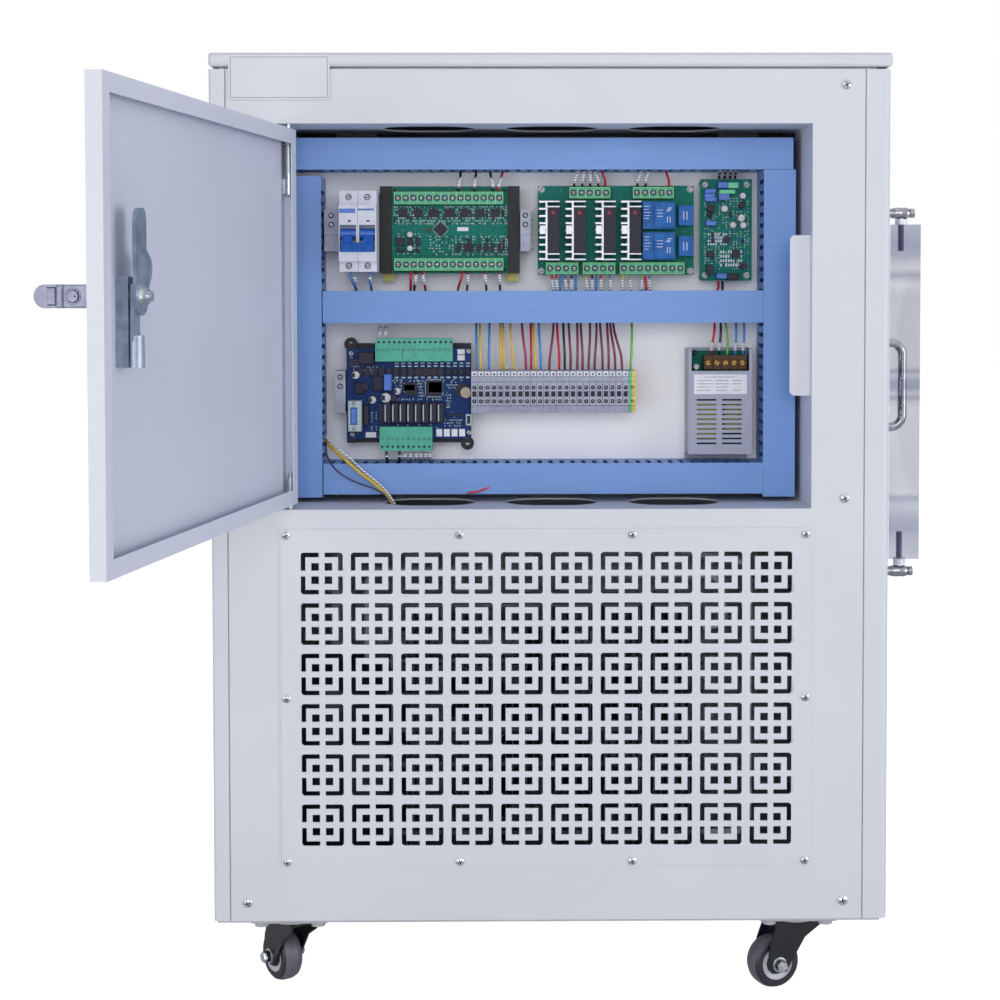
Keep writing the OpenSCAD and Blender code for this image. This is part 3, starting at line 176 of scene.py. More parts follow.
def varied(tree, millimetres, low, high, spread=(0.35, 0.65)):
    """A colour that drifts between two hex colours over patches of that size."""
    noise = add(tree, "ShaderNodeTexNoise", {"Vector": place_in(tree, millimetres)},
                {"Scale": 1.0, "Detail": 3.0})
    ramp = add(tree, "ShaderNodeValToRGB", {"Fac": noise.outputs["Fac"]})
    ramp.color_ramp.elements[0].position = spread[0]
    ramp.color_ramp.elements[1].position = spread[1]
    ramp.color_ramp.elements[0].color = linear(low)
    ramp.color_ramp.elements[1].color = linear(high)
    return ramp.outputs["Color"]


def plain(name, millimetres, low, high, roughness, grain=None, **values):
    """A material in one drifting colour, with a grain of that size and depth in mm if one is given."""
    material, tree = blank_material(name)
    shader = principled(tree, varied(tree, millimetres, low, high), roughness, **values)
    if grain:
        roughened(tree, shader, *grain)
    return material


def finish(material, *nodes):
    """Gives CAD nodes this material."""
    for node in nodes:
        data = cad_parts[node].data
        data.materials.clear()
        data.materials.append(material)


# Sprayed primer: half-matt, with the dusty drift of a thin coat.
zinc_primer = plain("zinc_grey_primed_steel", 60, "A4A6AC", "B4B6BC", 0.5, (1.5, 0.03))
finish(zinc_primer, "chassis_frame", "castor_plates")


# ---- Castors ----
# Swivel castors: a pressed fork, stove-enamelled black, a hex axle bolt in bright zinc, and a
# wheel with a soft grey tread round a white rim and a black hub.

def solid(name, bm, body, *materials, smooth=False):
    """Makes a mesh object from a bmesh, gives it its materials and lets it ride a body."""
    made = bpy.data.meshes.new(name)
    bmesh.ops.recalc_face_normals(bm, faces=bm.faces)
    bm.to_mesh(made)
    bm.free()
    for material in materials:
        made.materials.append(material)
    for face in made.polygons:
        face.use_smooth = smooth
    piece = bpy.data.objects.new(name, made)
    scene.collection.objects.link(piece)
    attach(piece, body)


def skin(bm, rings, material=0):
    """Joins rings of vertices into one closed form."""
    count = len(rings[0])
    for low, high in zip(rings, rings[1:]):
        for k in range(count):
            face = bm.faces.new((low[k], low[(k + 1) % count], high[(k + 1) % count], high[k]))
            face.material_index = material
    for ring in (rings[0], rings[-1]):
        bm.faces.new(ring).material_index = material


def turned_ring(bm, profile, place, axis, sides=32, material=0):
    """Adds a turned piece: (radius, height) pairs in mm swept round an axis at a place in mm."""
    turn = Vector((0, 0, 1)).rotation_difference(Vector(axis)).to_matrix()
    rings = []
    for radius, height in profile:
        ring = []
        for k in range(sides):
            a = 2 * math.pi * k / sides
            p = turn @ Vector((radius * math.cos(a), radius * math.sin(a), height)) + Vector(place)
            ring.append(bm.verts.new(p / 1000))
        rings.append(ring)
    skin(bm, rings, material)


# Baked enamel: deep black with a soft shine and a faint blue cast.
stove_black = plain("stove_enamelled_black_steel", 20, "0C0D13", "13141C", 0.36, (1.2, 0.02))

# Passivated zinc plate: bluish, bright, with a fine drawn grain.
bright_zinc = plain("bright_zinc_plated_steel", 3, "AEB6BC", "D3D9DD", 0.3, (0.4, 0.02), Metallic=0.85)

castors = {
    "rear_near": (-250, -205, 125), "front_near": (237, -205, 200),
    "rear_far": (-250, 205, 165), "front_far": (237, 205, 230),
}
for name, (x, y, angle) in castors.items():
    along = Vector((math.cos(math.radians(angle)), math.sin(math.radians(angle)), 0))
    across = Vector((-along.y, along.x, 0))
    hub = Vector((x, y, 25)) + along * 22

    wheel, tree = blank_material("castor_wheel_" + name)
    # Two-shot wheel: grey thermoplastic rubber tread with a slight bloom, white nylon rim, black hub.
    where = add(tree, "ShaderNodeTexCoord")
    from_hub = add(tree, "ShaderNodeVectorMath", {0: where.outputs["Object"]}, {1: hub / 1000},
                   operation="SUBTRACT")
    arm = add(tree, "ShaderNodeVectorMath", {0: from_hub.outputs[0]}, {1: across}, operation="CROSS_PRODUCT")
    radius = add(tree, "ShaderNodeVectorMath", {0: arm.outputs[0]}, operation="LENGTH")
    bands = add(tree, "ShaderNodeMapRange", {"Value": radius.outputs["Value"]},
                {"From Min": 0.0, "From Max": 0.025})
    ramp = add(tree, "ShaderNodeValToRGB", {"Fac": bands.outputs[0]})
    ramp.color_ramp.interpolation = "CONSTANT"
    for position, colour in ((0.0, "22232B"), (0.44, "C9C9D4"), (0.64, "23232D"), (0.93, "5E5D6A")):
        element = ramp.color_ramp.elements.new(position)
        element.color = linear(colour)
    ramp.color_ramp.elements.remove(ramp.color_ramp.elements[0])
    ramp.color_ramp.elements.remove(ramp.color_ramp.elements[-1])
    shader = principled(tree, ramp.outputs["Color"], 0.42)
    roughened(tree, shader, 2.0, 0.05)
    finish(wheel, "castor_wheel_" + name)
    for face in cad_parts["castor_wheel_" + name].data.polygons:
        face.use_smooth = False
    finish(stove_black, "castor_fork_" + name)

    bm = bmesh.new()
    for side in (-1, 1):
        base = hub + across * side * 19
        turned_ring(bm, [(5.4, 0), (5.6, 0.5), (5.6, 2.6), (4.9, 3.4), (2.0, 3.5)], base, across * side, 6)
        turned_ring(bm, [(7.2, -0.2), (7.2, 0.9), (6.8, 1.1)], hub + across * side * 14.7, across * side, 24)
    solid("axle_bolt_" + name, bm, "castor_fork_" + name, bright_zinc)


# ---- Refrigeration unit ----
# A hermetic compressor in black enamel, an aluminium-finned condenser on copper tube, a pressed
# fan plate and a moulded fan, joined with bent copper pipe under white foam sleeve.

# Rolled foil fins: satin, tinted a little blue as a painted reflection of the room, dusty in patches.
fin_aluminium = plain("bare_rolled_aluminium_fins", 25, "4C5266", "6F7690", 0.45, (2.0, 0.05), Metallic=0.5)
# Closed-cell foam tube: matt white with a soft skin.
foam_sleeve = plain("white_foam_pipe_sleeve", 8, "C9CBD6", "E6E7EE", 0.8, (1.0, 0.15))
# Moulded nylon: dark grey and dull, with fine spark-eroded texture.
fan_nylon = plain("black_glass_filled_nylon", 4, "1B1C22", "26272E", 0.55, (0.5, 0.03))
galvanised, tree = blank_material("galvanised_sheet_steel")
# Hot-dipped sheet: pale spangle crystals about 6 mm across.
cells = add(tree, "ShaderNodeTexVoronoi", {"Vector": place_in(tree, 6)}, {"Scale": 1.0})
tone = add(tree, "ShaderNodeMix", {"Factor": cells.outputs["Color"]},
           {"A": linear("7F858E"), "B": linear("A6ABB4")}, data_type="RGBA")
principled(tree, tone.outputs["Result"], 0.42, Metallic=0.6)
# Sprayed and baked enamel on a drawn steel shell: dark slate, half-matt, orange-peeled at 3 mm.
enamel = plain("blue_black_compressor_enamel", 40, "2A2C3C", "363850", 0.42, (3.0, 0.06))
finish(enamel, "compressor")
finish(fin_aluminium, "condenser")
finish(galvanised, "fan_shroud")
finish(fan_nylon, "fan_blades")
finish(foam_sleeve, "refrigerant_pipes")


# ---- Vacuum chamber ----
# A welded and ground stainless chamber whose machined flange stands on the front panel, with a
# white silicone ring, a rack of shelves and the pipe to the vacuum pump.

brushed_stainless, tree = blank_material("ground_stainless_steel")
# 304 sheet ground with 240 grit: fine streaks along the length, drawn at 0.8 mm so that they show.
stretch = add(tree, "ShaderNodeVectorMath", {0: place_in(tree, 0.8)}, {1: (0.04, 1, 1)}, operation="MULTIPLY")
streaks = add(tree, "ShaderNodeTexNoise", {"Vector": stretch.outputs[0]}, {"Scale": 1.0, "Detail": 3.0})
shine = add(tree, "ShaderNodeMapRange", {"Value": streaks.outputs["Fac"]}, {"To Min": 0.16, "To Max": 0.34})
shader = principled(tree, varied(tree, 30, "B6B8BD", "C9CACE"), 0.25, Metallic=1.0)
tree.links.new(shine.outputs[0], shader.inputs["Roughness"])
silicone, tree = blank_material("moulded_white_silicone")
# Moulded silicone: milky, soft-edged and slightly tacky to the eye.
shader = principled(tree, varied(tree, 15, "D9DADF", "E8E9EC"), 0.5)
shader.inputs["Subsurface Weight"].default_value = 0.15
roughened(tree, shader, 1.0, 0.03)
# 303 bar, turned and buffed: darker than sheet, its colour a painted reflection of the darker things round
#                             it.
turned_stainless = plain("turned_and_polished_stainless", 6, "8F9097", "A6A7AF", 0.22, (0.5, 0.01),
                         Metallic=1.0)
finish(brushed_stainless, "chamber_vessel", "shelf_rack", "vacuum_port")
finish(turned_stainless, "hinge_arms")
finish(silicone, "door_gasket")


# ---- Cabinet panels ----
# Folded 1.5 mm steel sheet, phosphated and powder-coated off-white, hung on the chassis and
# held by cross-recessed pan-head screws; the lid is a shallow folded tray.

def refinish(node, material, chosen):
    """Gives a second material to the faces of a CAD node whose centre, in mm, is chosen."""
    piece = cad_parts[node]
    piece.data.materials.append(material)
    for face in piece.data.polygons:
        if chosen(piece.matrix_world @ face.center * 1000):
            face.material_index = len(piece.data.materials) - 1


side_panel = -250  # y of the side panel's face, in mm: depths are counted from here


def moulding(bm, x, z, depth, material=0, ease=0.25):
    """Adds a moulded block between x and z limits and two depths behind the side panel, in mm,
    with its front edges eased."""
    rings = []
    for level, inset in ((depth[1], 0), (depth[0] + ease, 0), (depth[0], ease)):
        corners = ((x[0] + inset, z[0] + inset), (x[1] - inset, z[0] + inset),
                   (x[1] - inset, z[1] - inset), (x[0] + inset, z[1] - inset))
        y = (side_panel + level) / 1000
        rings.append([bm.verts.new((px / 1000, y, pz / 1000)) for px, pz in corners])
    skin(bm, rings, material)


# Polyester powder: half-matt, with the low orange peel of a cured coat, about 2 mm from crest to crest.
powder_white = plain("off_white_powder_coat", 140, "CCD0D9", "CFD3DC", 0.42, (2.0, 0.012, 1.0), specular=0.35)
finish(powder_white, "rear_panel", "front_panel", "service_panel", "far_panel", "top_cover", "grille_plate")
finish(bright_zinc, "panel_screws")

# The punched cross: painted shade, dark grey where the recess's shadow falls.
recess_shade = plain("screw_recess_painted_shade", 1, "34363F", "4A4C56", 0.4, Metallic=0.5)


def in_recess(c, columns, rows, reach, height):
    """Whether a point is inside the cross of the nearest screw of a grid."""
    x = min(columns, key=lambda v: abs(v - c.x))
    z = min(rows, key=lambda v: abs(v - c.z))
    return math.hypot(c.x - x, c.z - z) < reach and abs(c.y) < height - side_panel


refinish("panel_screws", recess_shade, lambda c: in_recess(c, (-288, 277.4), (95.6, 479.6, 868.5), 2.9, 2.15))
low, high = (1000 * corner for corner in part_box("grille_plate"))
refinish("panel_screws", recess_shade, lambda c: in_recess(
    c, (-250, -86.6, 76.8, 240.6), (low.z + 4.8, (low.z + high.z) / 2 - 0.5, high.z - 5.8), 2.5, 3.25))

# The cut-outs' outer corners are nibbled round: each quarter's far corner is eased by 2.5 mm.
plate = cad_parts["grille_plate"]
corners = plate.vertex_groups.new(name="outer_corners")
first, pitch, reach = (low.x + 38.8, low.z + 40.1), (47.15, 47.9), 19.8
for vertex in plate.data.vertices:
    p = vertex.co * 1000
    across = (p.x - first[0] + pitch[0] / 2) % pitch[0] - pitch[0] / 2
    up = (p.z - first[1] + pitch[1] / 2) % pitch[1] - pitch[1] / 2
    if abs(abs(across) - reach) < 0.2 and abs(abs(up) - reach) < 0.2:
        corners.add([vertex.index], 1.0, "REPLACE")
plate.modifiers.new("joined_faces", "WELD").merge_threshold = 0.00001
eased = plate.modifiers.new("eased_corners", "BEVEL")
eased.limit_method = "VGROUP"
eased.vertex_group = corners.name
eased.width = 0.0025
eased.segments = 2


# ---- Label film ----
# A blank polyester label with a printed border, laid over the joint between the lid and the side
# panel. It is cut from coated film, 95 by 42 mm, and glued.

# Satin polyester film, printed the panel's own grey; it carries nothing but a border.
label_film = plain("clear_coated_label_film", 60, "CCD0D9", "D0D4DD", 0.5)
# Screen-printed line, half a millimetre wide.
border_ink = plain("grey_border_ink", 4, "8C8E9C", "9698A6", 0.6)
bm = bmesh.new()
moulding(bm, (-301, -206.4), (854.4, 896.3), (-1.5, -1.3), 0, 0.05)
for level in (856.4, 894):
    moulding(bm, (-299, -208.6), (level - 0.35, level + 0.35), (-1.56, -1.4), 1, 0.02)
for side in (-299, -208.6):
    moulding(bm, (side - 0.35, side + 0.35), (856.4, 894), (-1.56, -1.4), 1, 0.02)
solid("label_film", bm, "cabinet", label_film, border_ink)


# ---- Electrical box, mounting plate, ducts and rails ----
# A folded steel sleeve behind the opening, and the powder-coated plate that closes it and carries
# slotted PVC ducts with snap-on covers and zinc-plated hat rails, all screwed on.

# The box sleeve's coat has seen no sun: whiter and smoother than the panels'.
inner_white = plain("fresh_white_powder_coat", 120, "D0D3DE", "D4D7E2", 0.45, (2.0, 0.01, 1.0))
finish(inner_white, "electrical_box")

powder_grey, tree = blank_material("pale_grey_powder_coat")
# The plate's own coat: a touch greyer and smoother than the panels'. The hanging lugs past the ducts' outer
# edges are painted near black: painted shade for the dark gap round the plate.
where = add(tree, "ShaderNodeSeparateXYZ", {0: place_in(tree, 1)})
above = add(tree, "ShaderNodeMath", {0: where.outputs[2]}, {1: 824.1}, operation="GREATER_THAN")
below = add(tree, "ShaderNodeMath", {0: where.outputs[2]}, {1: 475.4}, operation="LESS_THAN")
painted_shade_band = add(tree, "ShaderNodeMath", {0: above.outputs[0], 1: below.outputs[0]}, operation="MAXIMUM")
tone = add(tree, "ShaderNodeMix", {"Factor": painted_shade_band.outputs[0], "A": varied(tree, 90, "F3F4F9", "F7F8FC")},
           {"B": linear("1C1D25")}, data_type="RGBA")
shader = principled(tree, tone.outputs["Result"], 0.5)
roughened(tree, shader, 2.4, 0.01, 1.0)
duct_pvc, tree = blank_material("blue_extruded_pvc")
# Extruded rigid PVC: even mid blue, satin, with faint die lines every 3 mm.
stretch = add(tree, "ShaderNodeVectorMath", {0: place_in(tree, 3)}, {1: (0.05, 1, 1)}, operation="MULTIPLY")
lines = add(tree, "ShaderNodeTexNoise", {"Vector": stretch.outputs[0]}, {"Scale": 1.0, "Detail": 1.0})
tone = add(tree, "ShaderNodeMix", {"Factor": lines.outputs["Fac"]},
           {"A": linear("668ECE"), "B": linear("7198D5")}, data_type="RGBA")
principled(tree, tone.outputs["Result"], 0.46)
finish(powder_grey, "mounting_plate")
finish(duct_pvc, "wire_ducts", "duct_lids")
# Continuously plated strip, rolled to shape: duller than the screws, with a faint spangle.
rolled_zinc = plain("rolled_zinc_plated_rail", 4, "868D99", "9CA3AE", 0.45, Metallic=0.5)
finish(rolled_zinc, "din_rails")


# ---- Board carriers and boards ----
# Glass-fibre boards under solder mask. Two of them clip into black moulded carriers, whose yellow
# feet snap on the rail; the other two stand on screwed posts.

# Moulded ABS: fine matt texture, slightly blue black.
black_abs = plain("black_moulded_abs", 6, "0B0C14", "12131C", 0.5, (0.6, 0.03), specular=0.3)
# Transformer tape and pull-down feet: olive yellow, glossy.
yellow_tape = plain("yellow_polyester_tape", 3, "A6A23C", "B9B34A", 0.35)


def board_mask(name, ground, copper, pitch):
    """A board's solder mask, with slightly raised tracks under it and tinned vias at that pitch in mm."""
    material, tree = blank_material(name)
    where = add(tree, "ShaderNodeSeparateXYZ", {0: place_in(tree, pitch)})
    flat = add(tree, "ShaderNodeCombineXYZ", {0: where.outputs[0], 1: where.outputs[2]})
    tracks = add(tree, "ShaderNodeTexBrick", {"Vector": flat.outputs[0]},
                 {"Scale": 1.0, "Mortar Size": 0.09, "Brick Width": 2.6, "Row Height": 0.8,
                  "Color1": linear(ground), "Color2": linear(ground), "Mortar": linear(copper)})
    vias = add(tree, "ShaderNodeTexVoronoi", {"Vector": flat.outputs[0]}, {"Scale": 0.4})
    near_via = add(tree, "ShaderNodeMath", {0: vias.outputs["Distance"]}, {1: 0.1}, operation="LESS_THAN")
    tone = add(tree, "ShaderNodeMix", {"Factor": near_via.outputs[0], "A": tracks.outputs["Color"]},
               {"B": linear("7FA493")}, data_type="RGBA")
    shader = principled(tree, tone.outputs["Result"], 0.4, specular=0.12)
    bump = add(tree, "ShaderNodeBump", {"Height": tracks.outputs["Fac"]}, {"Distance": 0.00005})
    tree.links.new(bump.outputs[0], shader.inputs["Normal"])
    return material


green_mask = board_mask("green_solder_mask", "00695E", "0F8272", 1.9)
blue_mask = board_mask("blue_solder_mask", "12306A", "20427F", 1.7)
finish(black_abs, "board_carriers")
refinish("board_carriers", yellow_tape, lambda c: 684 < c.z < 692.9)
finish(green_mask, "io_board", "driver_board", "sensor_board")
finish(blue_mask, "plc_board")


# ---- Screw clamps on the boards ----
# Rows of moulded polyamide clamps, soldered to the boards, each pole with a slotted steel screw in a well
# between two pale partition walls; the well's shade is painted as a dark ring.

# Plug-in clamp housings: mid green, satin.
green_polyamide = plain("green_moulded_polyamide", 6, "2F9880", "3CA68E", 0.42, (0.8, 0.03))
# The clamps' partition walls: thinner, paler and yellower than their housings.
clamp_cage = plain("pale_green_clamp_wall", 2, "7CC56A", "93D47C", 0.42)
# Nickel plate over steel: bright, slightly warm, worn in the slot.
plated_screw = plain("nickel_plated_screw_steel", 1.2, "7C7F88", "A9ACB4", 0.42, Metallic=0.6)
# Chip packages: matt, sand-textured black with a violet cast. The same black is painted shade in screw slots,
# holes, wells and grooves.
black_epoxy_and_painted_shade = plain("black_moulded_epoxy_and_painted_shade", 2, "131226", "1D1B33", 0.5, (0.3, 0.01), specular=0.3)
finish(green_polyamide, "board_terminals")


def can(bm, x, z, radius, depth, material=0, sides=16):
    """Adds a round part that stands on a board, its front edge rounded."""
    height = depth[1] - depth[0]
    turned_ring(bm, [(radius, 0), (radius, height - 0.5), (radius - 0.5, height)],
                (x, side_panel + depth[1], z), (0, -1, 0), sides, material)


def slotted_screw(bm, x, z, radius, depth, material=0, slot=1, turn=0.6):
    """Adds a screw head with a dark slot across it: a flat quad, painted shade for the slot."""
    can(bm, x, z, radius, (depth - 0.8, depth + 0.4), material, 12)
    reach = Vector((math.cos(turn), 0, math.sin(turn))) * radius * 0.8
    side = Vector((-math.sin(turn), 0, math.cos(turn))) * radius * 0.16
    middle = Vector((x, side_panel + depth - 0.85, z))
    corners = [middle + reach + side, middle - reach + side, middle - reach - side, middle + reach - side]
    bm.faces.new([bm.verts.new(c / 1000) for c in corners]).material_index = slot


# Screws, partition walls and wire funnels of the clamp rows: poles, x and z limits and front depth.
bm = bmesh.new()
for poles, x, z, depth in (
    (14, (-151, -44.4), (760.5, 772.4), 74), (14, (-151, -44.4), (695.7, 707.4), 74),
    (5, (20.7, 60.7), (766.5, 777.4), 84), (5, (83.1, 123.2), (766.5, 777.4), 84),
    (4, (-2.5, 29.3), (692, 703.4), 84), (4, (33.9, 65.7), (692, 703.4), 84),
    (8, (70.3, 133.8), (692, 703.4), 84),
):
    pitch = (x[1] - x[0]) / poles
    for i in range(poles + 1):
        wall = min(max(x[0] + i * pitch, x[0] + 0.35), x[1] - 0.35)
        moulding(bm, (wall - 0.35, wall + 0.35), (z[0] - 0.1, z[1] + 0.1), (depth - 0.7, depth + 0.2), 2, 0.1)
    for level in (z[0] + 0.3, z[1] - 0.3):
        moulding(bm, (x[0], x[1]), (level - 0.3, level + 0.3), (depth - 0.5, depth + 0.2), 2, 0.1)
    for i in range(poles):
        spot = (x[0] + pitch * (i + 0.5), (z[0] + z[1]) / 2)
        # A dark ring round each screw: painted shade in the clamp's well.
        turned_ring(bm, [(3, -0.5), (3, 0.25), (2.3, 0.3)], (spot[0], side_panel + depth, spot[1]),
                    (0, -1, 0), 14, 1)
        slotted_screw(bm, *spot, 1.9, depth - 0.1, 0, 1, 0.4 + i * 0.9)
solid("clamp_screws", bm, "cabinet", plated_screw, black_epoxy_and_painted_shade, clamp_cage)


# ---- Input board ----
# Seven input channels above and the outputs below, with a square controller set at 45 degrees:
# chip parts, coupler packages, a crystal and two cans, all soldered.

# Solder fillets, tinned ends and pale ceramic: small bright and dull facets.
tinned = plain("tinned_leads_and_chip_resistors", 0.8, "6C8088", "A8BAC1", 0.4, Metallic=0.35)
# Opaque screen print and bare paper labels: flat, even white.
white_ink = plain("white_screen_printed_ink", 5, "D9DBE6", "E2E4EC", 0.6)
# Drawn aluminium cans: bright matt tops.
aluminium_can = plain("capacitor_can_aluminium", 2, "8F939C", "B2B6BE", 0.45, Metallic=0.4)
# The power supply's clamp block: brown-amber and glossy.
amber = plain("amber_moulded_polyester", 4, "3C2107", "55310B", 0.3, specular=0.25)


def scattered(bm, x, z, depth, count, seed):
    """Adds small chip parts in loose rows between limits, of material 0 or, for some, 1."""
    chance = random.Random(seed)
    rows = max(1, int((z[1] - z[0]) / 2.6))
    columns = max(1, math.ceil(count / rows))
    step_x, step_z = (x[1] - x[0]) / columns, (z[1] - z[0]) / rows
    for row in range(rows):
        for column in range(columns):
            if chance.random() < 0.15:
                continue
            upright = chance.random() < 0.5
            w, h = (0.9, 1.9) if upright else (1.9, 0.9)
            w, h = min(w, step_x * 0.8), min(h, step_z * 0.8)
            cx = x[0] + step_x * (column + 0.5) + chance.uniform(-0.15, 0.15) * step_x
            cz = z[0] + step_z * (row + 0.5) + chance.uniform(-0.1, 0.1) * step_z
            moulding(bm, (cx - w / 2, cx + w / 2), (cz - h / 2, cz + h / 2), (depth - 0.6, depth + 0.1),
                     0 if chance.random() < 0.7 else 1, 0.1)


refinish("io_board", black_epoxy_and_painted_shade, lambda c: c.y < -164.05)
bm = bmesh.new()
for i in range(7):
    left = -152.3 + i * 16.1
    scattered(bm, (left, left + 15.4), (740.5, 759.6), 86, 64, 10 + i)
    moulding(bm, (left + 6.2, left + 8.2), (749.5, 757), (84.6, 86), 1, 0.2)
    moulding(bm, (left + 10.4, left + 12.4), (748, 755.5), (84.8, 86), 1, 0.2)
    moulding(bm, (left + 0.5, left + 2.6), (745.5, 749.5), (85, 86), 1, 0.2)
for left in (-117.5, -101.5, -86.8, -69, -53):
    scattered(bm, (left, left + 15), (710, 730.5), 86, 60 if left > -90 else 34, int(left) + 300)
    if left > -90:
        moulding(bm, (left + 7.5, left + 10), (715, 727), (84.6, 86), 1, 0.2)
for x in ((-150, -141), (-138.5, -133), (-130.5, -126)):
    moulding(bm, x, (719.5, 728), (84, 86), 1, 0.3)
    moulding(bm, x, (713.5, 717), (84.6, 86), 1, 0.3)
scattered(bm, (-150, -124), (711, 733), 86.1, 40, 77)
for z in (731, 717.5):
    can(bm, -136, z, 3, (80, 86), 3)
moulding(bm, (-119, -116.2), (733.3, 737.6), (84, 86), 4, 0.3)
moulding(bm, (-89.6, -78.6), (734.6, 738.3), (85.95, 86.3), 2, 0.05)
diagonal = 0.7071  # the controller's pins stand along its sides, at 45 degrees
for side in (-1, 1):
    for k in range(9):
        for mirror in (-1, 1):
            a, b = side * 6, (k - 4) * 1.1
            cx, cz = -106 + (a * mirror - b) * diagonal, 736.3 + (a + b * mirror) * diagonal
            moulding(bm, (cx - 0.4, cx + 0.4), (cz - 0.4, cz + 0.4), (85.6, 86.1), 0, 0.1)
solid("input_board_parts", bm, "cabinet", tinned, black_epoxy_and_painted_shade, white_ink, aluminium_can, amber)


# ---- Driver board, its heatsinks and relays ----
# Extruded comb heatsinks between end brackets, with a power device clamped to each, and sealed
# relays with pad-printed cases. The board hangs on washered screws at its corners.

# Extruded and anodised: pale, even, soft metal.
anodised = plain("clear_anodised_aluminium", 8, "CCCFDA", "DBDDE6", 0.42, (0.5, 0.02), Metallic=0.25)
# Sealed relay cases: a duller and greener blue than the levers, fine-grained.
relay_blue = plain("blue_moulded_polybutylene", 6, "10549C", "1B66B2", 0.45, (0.6, 0.02), specular=0.25)
finish(anodised, "driver_heatsinks")
finish(relay_blue, "relays")
sinks = (-9.2, 16.5, 45.7, 70.8)
refinish("driver_heatsinks", black_epoxy_and_painted_shade, lambda c: any(s + 7.95 < c.x < s + 20 for s in sinks))
# Paint dot on the power devices: dried dark red.
red_dot = plain("dark_red_marking_paint", 1, "6A1420", "8A1E2C", 0.45)

bm = bmesh.new()
for left in sinks:
    for low in (705.6, 711, 757.2, 762.2):
        moulding(bm, (left + 6.2, left + 20), (low, low + 1.4), (72.5, 94), 0, 0.2)
    moulding(bm, (left + 0.4, left + 6.6), (731, 739.5), (71.4, 76), 0, 0.4)
    can(bm, left + 13.6, 751.8, 2.2, (73.4, 74.2), 1, 14)
    scattered(bm, (left + 1, left + 19), (705, 705.2), 94.1, 6, int(left) + 60)
for x, z, turn in ((-6.7, 775.7, 0.8), (140.6, 775.7, 0.8), (140.6, 695, 0.8), (-6.7, 695, 0.3)):
    turned_ring(bm, [(3.4, 0), (3.4, 0.5), (2.9, 0.7)], (x, side_panel + 94, z), (0, -1, 0), 18, 3)
    slotted_screw(bm, x, z, 2.5, 93.2, 3, 2, turn)
# The relays' pad print, as plain bars.
for low in (706.3, 736.3):
    for row in range(5):
        moulding(bm, (94, 98.5 + row % 3), (low + 9.8 + row * 3, low + 10.3 + row * 3), (79.7, 80.1), 4, 0.02)
    for row in range(3):
        moulding(bm, (106, 112), (low + 12 + row * 3, low + 12.5 + row * 3), (76.7, 77.1), 4, 0.02)
    for x in (116.2, 118.8):
        moulding(bm, (x, x + 0.6), (low + 6, low + 12), (76.7, 77.1), 4, 0.02)
    for row in range(3):
        rise = low + 17 + row * 1.5
        moulding(bm, (115.2 + row, 119 + row), (rise, rise + 0.7), (76.7, 77.1), 4, 0.02)
    for x in (132.4, 135.6):
        moulding(bm, (x, x + 0.7), (low + 9, low + 17), (79.7, 80.1), 4, 0.02)
solid("driver_board_parts", bm, "cabinet", anodised, red_dot, black_epoxy_and_painted_shade, plated_screw, white_ink)


# ---- Sensor board ----
# A small analogue board with trimmers, cans, plug headers and rows of chip resistors, held by a
# washered screw in each corner.

# Glossy sealed cases and levers: saturated blue with a slight depth.
blue_polycarbonate = plain("blue_moulded_polycarbonate", 6, "1F58B0", "2968C2", 0.34, (1.0, 0.01))
# Small board clamp and socket strip: paler green than the screw clamps.
light_green = plain("light_green_moulded_polyamide", 3, "4FB98B", "67C79C", 0.42)
refinish("sensor_board", aluminium_can, lambda c: c.y < -156.1 and c.x > 185 and 740 < c.z < 755)
refinish("sensor_board", blue_polycarbonate, lambda c: c.y < -156.1 and not 694 < c.z < 764)
refinish("sensor_board", black_epoxy_and_painted_shade,
         lambda c: c.y < -156.1 and 694 < c.z < 764 and not (c.x > 185 and 740 < c.z < 755))

bm = bmesh.new()
for x, z, depth, material in (
    ((154, 165), (771.3, 775.8), 85, 1), ((155, 165.5), (763.3, 767.6), 85, 1),
    ((155, 165), (739.6, 744.4), 85, 1), ((166.8, 176.6), (776.3, 782.3), 83, 1),
    ((176.8, 187), (776.3, 782), 83, 2), ((168.3, 184), (771, 775), 85, 2),
    ((165.6, 176), (687.3, 692.6), 83, 1), ((176.4, 188), (686.6, 692.6), 85, 4),
):
    moulding(bm, x, z, (depth, 94), material, 0.4)
for x, z, r, material in ((191.5, 769, 3.2, 5), (173.4, 756.3, 3.5, 5), (182, 740.2, 3.2, 5),
                          (192, 740, 3.4, 5), (190.6, 759.8, 3.2, 4), (158.5, 751, 2, 4)):
    can(bm, x, z, r, (84, 94), material)
for x, z in (((158.5, 164), (745.5, 756)), ((177.5, 182.5), (747, 755)), ((186, 197.5), (747.5, 752)),
             ((160, 181), (722, 734)), ((190, 199), (722, 727)), ((160, 166), (706, 710))):
    scattered(bm, x, z, 94, 26, int(x[0] + z[0]))
    moulding(bm, (x[0] + 1, min(x[0] + 4, x[1])), (z[0] + 1, z[1] - 1), (92.4, 94), 4, 0.2)
